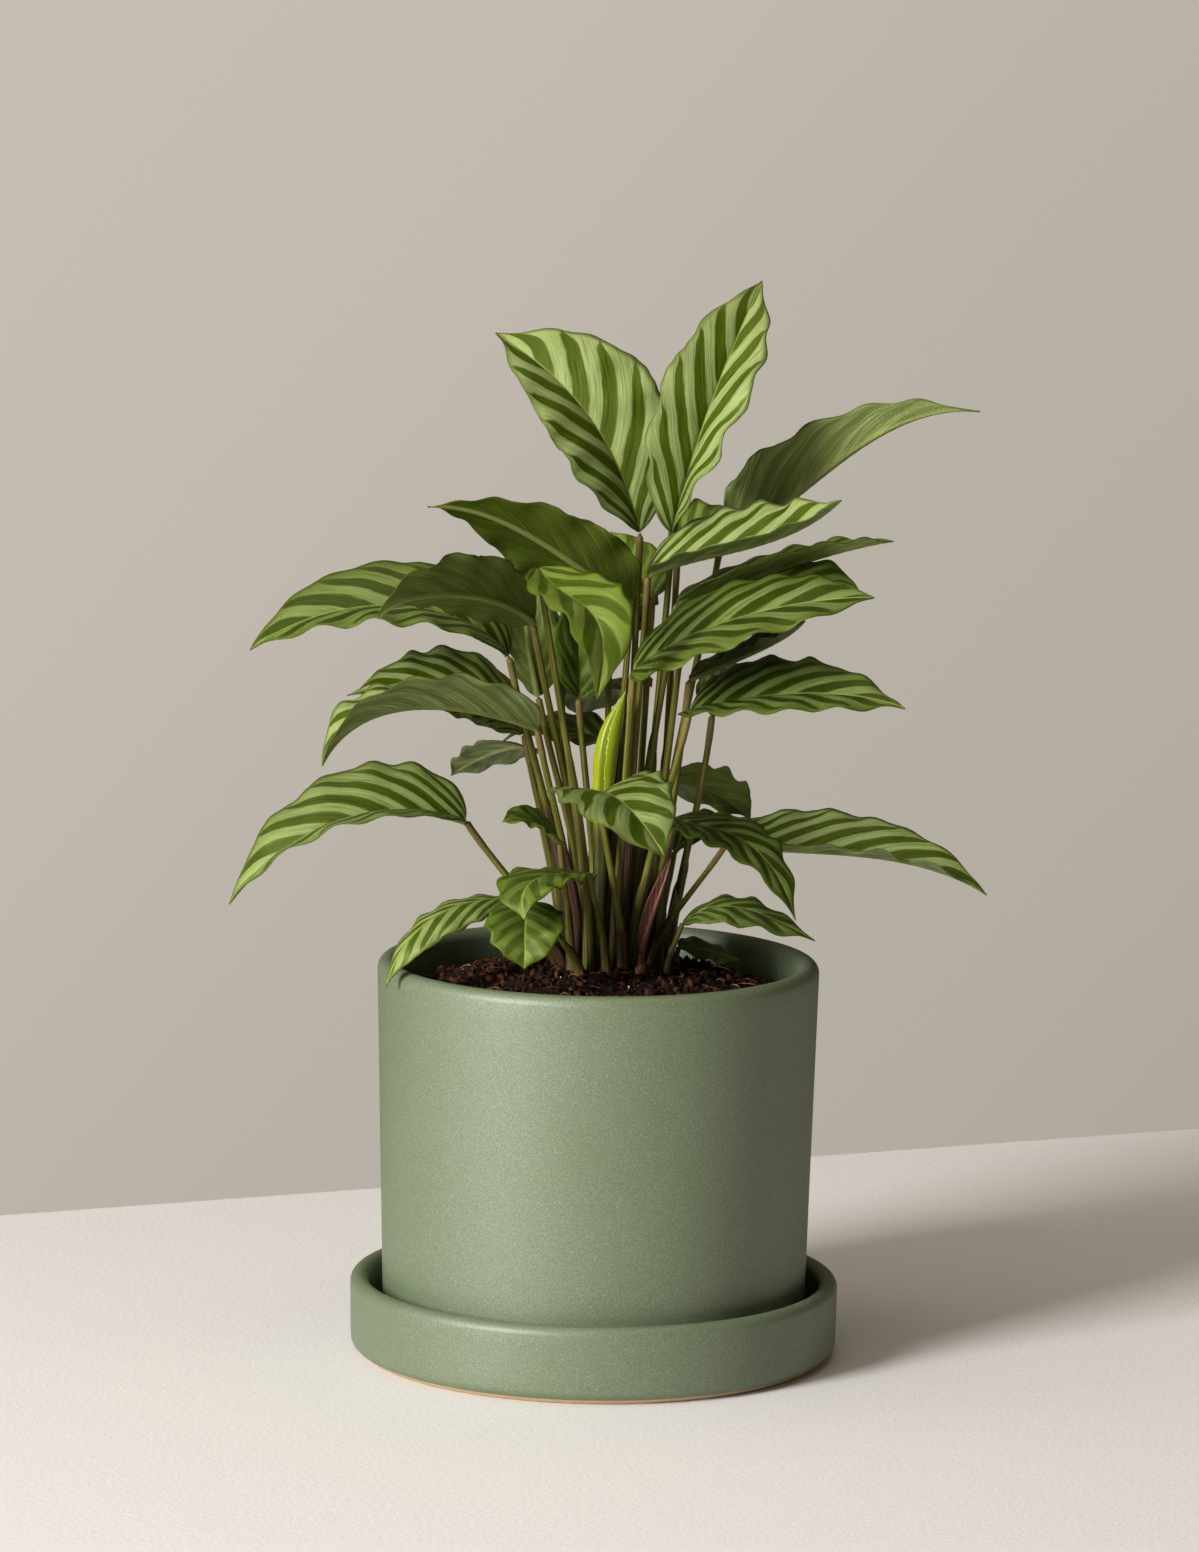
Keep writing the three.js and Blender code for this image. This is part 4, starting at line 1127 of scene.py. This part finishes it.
def frill(leaf, along, side):
    """Small crinkles that ride on the waves, close to the margin, in metres."""
    swell = max(math.sin(math.pi * along), 0) ** 0.5
    return 0.4 * leaf["wave"] * swell * math.sin(29 * along + 2.3 * leaf["seed"] + side) * MM


# How far a band reaches towards the tip on its way to the margin, and how it bends
BAND_SLANT = 0.4
BAND_CURVE = 1.12
VEINS_PER_BAND = 4
VEIN_HEIGHT = 0.25

# Keeps the count above 0 in front of the first band
COUNT_START = 20


def band_count(leaf, along, reach, side):
    """Counts the bands from the base. Lines of one count slant from the midrib to the tip, less so near
    the tip. On most leaves the bands lie closer near the base."""
    slant = BAND_SLANT * (1 - 0.55 * ease(0.55, 1.05, along))
    start = along - slant * reach ** BAND_CURVE
    crowding = leaf["crowding"] * (start - max(start, 0) ** 2)
    return (start + crowding) * leaf["bands"] + leaf["stagger"] * side + leaf["phase"] + COUNT_START


def blade(bm, leaf, midrib, settings):
    """Grows the blade as a slab of cells: a grid, extruded to two faces, that the leaf's formula shapes."""
    columns, rows = settings.columns, settings.rows
    verts = sheet(bm, columns, rows)
    faces = list({face for vert in verts for face in vert.link_faces})
    for face in faces:
        face.material_index = UNDER_MATERIAL
    made = bmesh.ops.extrude_face_region(bm, geom=faces, use_keep_orig=True)["geom"]
    raised = [item for item in made if isinstance(item, bmesh.types.BMVert)]
    bmesh.ops.translate(bm, verts=raised, vec=UP)
    for face in {face for vert in raised for face in vert.link_faces}:
        face.material_index = UPPER_MATERIAL
    pattern = bm.verts.layers.float_vector["pattern"]
    spans = bm.verts.layers.float_vector["spans"]
    tint = bm.verts.layers.float_vector["tint"]
    frames = {}
    for vert in verts + raised:
        row = round(vert.co.y * rows)
        if row not in frames:
            even = row / rows
            along = blend(even, 0.5 - 0.5 * math.cos(math.pi * even), ROW_CROWDING)
            frames[row] = (along, *midrib.at(along))
        across = 2 * vert.co.x - 1
        upper = vert.co.z > 0.5
        vert.co, vert[pattern], vert[spans] = blade_point(leaf, frames[row], across, upper, settings)
        vert[tint] = leaf["tint"]


def blade_point(leaf, at, across, upper, settings):
    """Where a point of the blade lies, and the fields that its materials read."""
    along, place, _, up, right = at
    side = -1 if across < 0 else 1
    hand = 0 if across < 0 else 1
    reach = abs(across) ** 1.4
    fold = blend(leaf["fold"][hand], leaf["tip_fold"][hand], along)
    angle = math.radians(fold + BLADE_CURL * (1 - reach) / 2)
    if reach < 1e-6:
        angle = 0
    pointed = 1 - TIP_POINT * ease(0.84, 1, along)
    share = max(blade_share(leaf["shape"], along) * pointed, LEAST_BLADE_SHARE)
    half = leaf["half"][hand] * share * MM
    width = half * reach + scallop(leaf, along, side) * reach ** 4
    out = right * side * math.cos(angle) + up * math.sin(angle)
    normal = up * math.cos(angle) - right * side * math.sin(angle)
    count = band_count(leaf, along, reach, side)
    waves = ripple(leaf, along, side) * reach ** 2 + frill(leaf, along, side) * reach ** 5
    pleats = settings.pleat * math.cos(math.tau * count) * math.sin(math.pi * min(reach, 1)) * share
    veins_up = VEIN_HEIGHT * settings.pleat * math.cos(math.tau * count * VEINS_PER_BAND) * share
    point = place + out * width + normal * (waves + pleats + veins_up)
    thickness = settings.thickness * blend(1, MARGIN_THICKNESS, ease(0.9, 1, reach))
    rib_radius = RIB_RADIUS * leaf["thick"] * (1 - along) ** 0.8
    on_rib = max(1 - (width / max(rib_radius, 1e-6)) ** 2, 0) ** 0.5
    if upper:
        point += normal * (thickness / 2 - RIB_GROOVE * rib_radius * on_rib)
    else:
        point -= normal * (thickness / 2 + RIB_KEEL * rib_radius * on_rib)
    return point, (reach, along, count), (half * reach / MM, half * (1 - reach) / MM, leaf["seed"])


def stalk(bm, leaf, midrib, wall, draw):
    """Grows the stalk from under the soil to the blade: a sheathed foot with a slanting mouth, a slim
    middle, and the swollen joint that turns the blade."""
    foot = foot_place(leaf["foot"], wall)
    top = midrib.at(0)[0]
    height = top.z - foot.z
    push = Vector((*leaf["sway"], 0)) * MM * 4 / 3
    curve = (foot, foot + UP * height * 0.3 + push, foot.lerp(top, 0.7) + push, top)
    length = max((top - foot).length, 1 * MM)
    buried = FOOT_DEPTH / (FOOT_DEPTH + length)
    mouth = draw.uniform(0.3, 0.55)
    mouth_turn = draw.uniform(0, math.tau)
    lean = draw.uniform(0.04, 0.1)
    purple = draw.random()
    thick = leaf["thick"]
    joint_share = JOINT_LENGTH / length

    def on_stalk(along):
        """Share of the way above the soil, place and direction."""
        t = (along - buried) / (1 - buried)
        if t < 0:
            return 0, foot + UP * FOOT_DEPTH * t * (1 - buried) / buried, UP
        return t, point_on(curve, t), direction_on(curve, t)

    def sheathed(around, t):
        edge = mouth + lean * math.cos(math.tau * around - mouth_turn)
        return 1 - ease(edge - 0.02, edge + 0.02, t)

    def jointed(t):
        return ease(1 - joint_share * 1.15, 1 - joint_share, t)

    def place(around, along):
        t, centre, tangent = on_stalk(along)
        side = tangent.cross(Vector((0, 1, 0))).normalized()
        front = side.cross(tangent)
        slim = blend(STALK_FOOT_RADIUS * 0.65, STALK_TOP_RADIUS, t ** 0.6)
        wide = blend(STALK_FOOT_RADIUS, STALK_TOP_RADIUS * 1.25, t ** 0.8)
        radius = blend(slim, wide, sheathed(around, t))
        radius *= 1 + JOINT_SWELL * jointed(t) + STALK_RIB_HEIGHT * math.sin(STALK_RIBS * math.tau * around)
        beyond = max(along - (1 - STALK_DOME), 0) / STALK_DOME
        ends = min(ease(0, STALK_POINT, along), math.sqrt(max(1 - beyond ** 2, 0)))
        angle = math.tau * around
        flat = blend(1, SHEATH_FLATNESS, sheathed(around, t))
        return centre + (side * math.cos(angle) + front * math.sin(angle) * flat) * radius * thick * ends

    def fields(around, along):
        t = on_stalk(along)[0]
        seam = abs(around - 0.5) * 2
        return (seam, t + leaf["seed"], leaf["seed"]), (sheathed(around, t), jointed(t), purple)

    wrap(bm, STALK_COLUMNS, STALK_ROWS, place, fields, material=STALK_MATERIAL)


def grow(name, leaf, materials, slot, seed, scene):
    """One leaf or sheath as a piece: its stalk, then its blade."""
    bm = new_bmesh()
    midrib = Midrib(leaf)
    stalk(bm, leaf, midrib, scene.plant_pot.wall, random.Random(seed))
    blade(bm, leaf, midrib, scene.plant_leaf)
    make_piece(name + "_grown", bm, materials, slot, [name])


# The newest leaf, in millimetres: the middle of the roll and its radius at each station
NEW_LEAF_FOOT = (-1, -2)
NEW_LEAF_ROLL = (
    (0, -12, 160, 2.2), (0, -12.5, 185, 2.2), (0, -13, 205, 2.6), (1, -13.5, 218, 3.6), (2, -14, 230, 3.9),
    (4, -14, 240, 3), (8, -15, 251, 0.4))
ROLL_TIP = (8.6, -15.1, 252.5, 0.0)
ROLL_COLUMNS, ROLL_ROWS = 60, 90
ROLL_STEP = 0.22
FREE_EDGE = 0.9
ROLL_START = math.radians(-60)
ROLL_TWIST = 0.9


def rolled_leaf(bm, wall):
    """Winds the newest leaf once round itself, so that its free edge stands proud down one side."""
    foot = foot_place(NEW_LEAF_FOOT, wall)
    stations = [(foot.x / MM, foot.y / MM, (foot.z - FOOT_DEPTH) / MM, 0.1),
                (foot.x / MM, foot.y / MM, foot.z / MM, 2.2), *NEW_LEAF_ROLL, ROLL_TIP]

    def station(along):
        """Centre and radius at a share of the height, on a smooth line through the stations."""
        share = along * (len(stations) - 1)
        i = min(int(share), len(stations) - 2)
        before, start, end, after = (
            Vector(stations[min(max(k, 0), len(stations) - 1)]) for k in (i - 1, i, i + 1, i + 2))
        t = share - i
        slope_in, slope_out = (end - before) / 2, (after - start) / 2
        return (start * (2 * t ** 3 - 3 * t ** 2 + 1) + slope_in * (t ** 3 - 2 * t ** 2 + t)
                + end * (3 * t ** 2 - 2 * t ** 3) + slope_out * (t ** 3 - t ** 2)) * MM

    def place(around, along):
        x, y, z, radius = station(along)
        wound = min(around / FREE_EDGE, 1)
        back = ease(FREE_EDGE, 1, around)
        radius = max(radius, 0) * (1 + ROLL_STEP * wound * (1 - back))
        angle = math.tau * around + ROLL_START - ROLL_TWIST * along
        return Vector((x + radius * math.cos(angle), y + radius * math.sin(angle), z))

    def fields(around, along):
        return (around, along, 0), (0, 0, 0)

    wrap(bm, ROLL_COLUMNS, ROLL_ROWS, place, fields)


# The studio

CAMERA_DISTANCE = 2400 * MM
CAMERA_TARGET = Vector((-0.72, 0, 218.2)) * MM
CAMERA_ELEVATION = 8.45
CAMERA_ROLL = 0.88
FOCAL_PIXELS = 6450
PHOTO_HEIGHT = 1552
SENSOR = 36
TABLE_EDGE = (Vector((-243.9, 217.2, 0)) * MM, Vector((267.6, 434.0, 0)) * MM)
TABLE_SIZE = (7, 4.6, 0.05)
WALL_RADIUS, WALL_HEIGHT = 4.4, 9
KEY_LIGHT = dict(place=(-2.27, -2.19, 1.3), target=(0, 0, 0.16), size=(0.9, 1.8), colour="#ffffff")
TOP_LIGHT = dict(place=(-0.3, -0.2, 2.4), target=(0, 0, 0.1), size=(2.0, 2.0), colour="#fff4e4")
ROOM_LIGHT = "#ffedd2"


def add_camera():
    """Stands the camera in front, a little above, as the photograph was taken."""
    data = bpy.data.cameras.new("camera")
    data.lens = SENSOR * FOCAL_PIXELS / PHOTO_HEIGHT
    data.sensor_width = SENSOR
    data.clip_end = 50
    camera = bpy.data.objects.new("camera", data)
    elevation = math.radians(CAMERA_ELEVATION)
    back = Vector((0, -math.cos(elevation), math.sin(elevation)))
    tilt = Matrix.Rotation(math.radians(90) - elevation, 4, "X")
    roll = Matrix.Rotation(math.radians(CAMERA_ROLL), 4, "Z")
    camera.matrix_world = Matrix.Translation(CAMERA_TARGET + back * CAMERA_DISTANCE) @ tilt @ roll
    bpy.context.scene.collection.objects.link(camera)
    bpy.context.scene.camera = camera


def add_light(name, power, place, target, size, colour):
    """A soft light at place that shines at target."""
    data = bpy.data.lights.new(name, "AREA")
    data.shape = "RECTANGLE"
    data.size, data.size_y = size
    data.energy = power
    data.color = linear(colour)[:3]
    light = bpy.data.objects.new(name, data)
    turn = (Vector(target) - Vector(place)).to_track_quat("-Z", "Y")
    light.matrix_world = Matrix.Translation(place) @ turn.to_matrix().to_4x4()
    light.visible_camera = False
    bpy.context.scene.collection.objects.link(light)


def add_stage_piece(name, bm, material):
    """A part of the studio: not part of the plant."""
    piece = linked_object(name, bm, [material], smooth=False)
    piece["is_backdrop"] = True
    return piece


def add_table(material):
    """A wide slab whose far edge slants across the view, as in the photograph."""
    left, right = TABLE_EDGE
    ahead = (right - left).normalized()
    inward = Vector((ahead.y, -ahead.x, 0))
    _, depth, thickness = TABLE_SIZE
    middle = (left + right) / 2 + inward * depth / 2 - UP * thickness / 2
    turn = Matrix.Rotation(math.atan2(ahead.y, ahead.x), 4, "Z")
    bm = bmesh.new()
    bmesh.ops.create_cube(bm, size=1, matrix=(
        Matrix.Translation(middle) @ turn @ Matrix.Diagonal((*TABLE_SIZE, 1))))
    bmesh.ops.bevel(bm, geom=bm.edges[:], offset=1 * MM, segments=3, profile=0.5, material=-1,
                    affect="EDGES")
    add_stage_piece("table", bm, material)


def add_wall(material):
    """A round wall far behind the table. It is seen, but it neither lights nor shades the plant."""
    bm = bmesh.new()
    bmesh.ops.create_cone(
        bm, cap_ends=False, segments=128, radius1=WALL_RADIUS, radius2=WALL_RADIUS, depth=WALL_HEIGHT)
    bmesh.ops.reverse_faces(bm, faces=bm.faces)
    wall = add_stage_piece("wall", bm, material)
    wall.visible_shadow = wall.visible_diffuse = wall.visible_glossy = wall.visible_transmission = False


# Operators


class PLANT_OT_stage(bpy.types.Operator):
    """Set up the table, the wall, the lights and the camera"""

    bl_idname = "prayer_plant.stage"
    bl_label = "Studio"

    def execute(self, context):
        settings = context.scene.plant_stage
        add_camera()
        add_table(table_paint())
        add_wall(glowing_wall_paint())
        world = bpy.data.worlds.new("studio")
        world.use_nodes = True
        background = world.node_tree.nodes["Background"]
        background.inputs["Color"].default_value = linear(ROOM_LIGHT)
        background.inputs["Strength"].default_value = settings.fill
        context.scene.world = world
        add_light("key", settings.key_power, **KEY_LIGHT)
        add_light("top", settings.top_power, **TOP_LIGHT)
        context.scene.view_settings.view_transform = "Standard"
        return {"FINISHED"}


class PLANT_OT_saucer(bpy.types.Operator):
    """Turn the saucer, with its bare clay foot"""

    bl_idname = "prayer_plant.saucer"
    bl_label = "Saucer"

    def execute(self, context):
        settings = context.scene.plant_pot
        bm = turned(saucer_profile(settings.saucer_wall), settings.turns)
        for face in bm.faces:
            face.material_index = int(face.calc_center_median().z < BARE_FOOT_HEIGHT)
        make_piece("glazed_saucer", bm, [speckled_glaze(), bare_clay()], "glaze", ["saucer"])
        return {"FINISHED"}


class PLANT_OT_pot(bpy.types.Operator):
    """Turn the pot, with its foot ring and its drain hole"""

    bl_idname = "prayer_plant.pot"
    bl_label = "Pot"

    def execute(self, context):
        settings = context.scene.plant_pot
        bm = turned(pot_profile(settings.wall), settings.turns)
        glaze = bpy.data.materials["satin_speckled_stoneware_glaze"]
        make_piece("glazed_pot", bm, [glaze], "glaze", ["pot"])
        return {"FINISHED"}


class PLANT_OT_soil(bpy.types.Operator):
    """Fill the pot with potting mix, and strew its crumbs, fibres and grit"""

    bl_idname = "prayer_plant.soil"
    bl_label = "Soil"

    def execute(self, context):
        settings = context.scene.plant_soil
        wall = context.scene.plant_pot.wall
        draw = random.Random(SEED)
        make_piece("soil_bed", soil_bed(wall), [potting_mix()], "soil", ["soil"])
        bark = crumb_material("peat_and_bark_crumbs", ("#0b0502", "#27130a", "#5a3118"), 0.9)
        coir = crumb_material("coir_fibre", ("#4a2c1a", "#8a5a36", "#c89468"), 0.7)
        grit = crumb_material("pale_grit", ("#a88f72", "#cdb99c", "#efe3cf"), 0.6)
        strewn = {
            "soil_crumbs": ([crumb(draw, CRUMB_RADIUS, wall) for _ in range(settings.crumbs)], bark),
            "soil_fibres": ([fibre(draw, wall) for _ in range(settings.fibres)], coir),
            "soil_grit": ([crumb(draw, GRIT_RADIUS, wall) for _ in range(settings.grit)], grit),
        }
        for name, (parts, material) in strewn.items():
            make_piece(name, gathered(parts), [material], "soil")
        return {"FINISHED"}


class PLANT_OT_leaves(bpy.types.Operator):
    """Grow every leaf, each with its banded blade and its sheathed stalk"""

    bl_idname = "prayer_plant.leaves"
    bl_label = "Leaves"

    def execute(self, context):
        materials = [upper_leaf(), under_leaf(), leaf_stalk()]
        for number, (name, leaf) in enumerate(described_leaves().items()):
            if name in SHEATHS:
                continue
            grow(name, leaf, materials, "leaf", SEED + number, context.scene)
        return {"FINISHED"}


class PLANT_OT_sheaths(bpy.types.Operator):
    """Grow the red and the green sheath that stand free of their stalks"""

    bl_idname = "prayer_plant.sheaths"
    bl_label = "Sheaths"

    def execute(self, context):
        leaves = described_leaves()
        skins = {
            "sheath_red": sheath_skin("red_papery_sheath", "#4d291b", "#955640"),
            "sheath_green": sheath_skin("green_sheath", "#3a421c", "#67703c"),
        }
        for number, (name, slot) in enumerate(SHEATHS.items()):
            grow(name, leaves[name], [skins[name]] * 3, slot, SEED - number, context.scene)
        return {"FINISHED"}


class PLANT_OT_new_leaf(bpy.types.Operator):
    """Grow the newest leaf, still rolled up"""

    bl_idname = "prayer_plant.new_leaf"
    bl_label = "Rolled Leaf"

    def execute(self, context):
        bm = new_bmesh()
        rolled_leaf(bm, context.scene.plant_pot.wall)
        make_piece("new_leaf_grown", bm, [fresh_roll()], "new_leaf", ["new_leaf_rolled"])
        return {"FINISHED"}


OPERATORS = (PLANT_OT_stage, PLANT_OT_saucer, PLANT_OT_pot, PLANT_OT_soil, PLANT_OT_leaves,
             PLANT_OT_sheaths, PLANT_OT_new_leaf)
SETTINGS = {"plant_pot": PotSettings, "plant_soil": SoilSettings, "plant_leaf": LeafSettings,
            "plant_stage": StageSettings}


class PLANT_PT_panel(bpy.types.Panel):
    """The plant's settings and its pieces, in the order in which they are made"""

    bl_idname = "PLANT_PT_panel"
    bl_label = "Potted Prayer Plant"
    bl_space_type = "VIEW_3D"
    bl_region_type = "UI"
    bl_category = "Prayer Plant"

    def draw(self, context):
        for name, group in SETTINGS.items():
            box = self.layout.box()
            for prop in group.__annotations__:
                box.prop(getattr(context.scene, name), prop)
        for operator in OPERATORS:
            self.layout.operator(operator.bl_idname)


def register():
    for group in SETTINGS.values():
        bpy.utils.register_class(group)
    for name, group in SETTINGS.items():
        setattr(bpy.types.Scene, name, PointerProperty(type=group))
    for operator in OPERATORS:
        bpy.utils.register_class(operator)
    bpy.utils.register_class(PLANT_PT_panel)


def unregister():
    bpy.utils.unregister_class(PLANT_PT_panel)
    for operator in reversed(OPERATORS):
        bpy.utils.unregister_class(operator)
    for name, group in SETTINGS.items():
        delattr(bpy.types.Scene, name)
        bpy.utils.unregister_class(group)


def main():
    """Makes the studio and every piece."""
    register()
    bpy.ops.prayer_plant.stage()
    bpy.ops.prayer_plant.saucer()
    bpy.ops.prayer_plant.pot()
    bpy.ops.prayer_plant.soil()
    bpy.ops.prayer_plant.leaves()
    bpy.ops.prayer_plant.sheaths()
    bpy.ops.prayer_plant.new_leaf()
    boxes = {"cad": CAD_BOX, "visual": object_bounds()}
    {name: [list(corner) for corner in box] for name, box in boxes.items()}


if __name__ == "__main__":
    main()
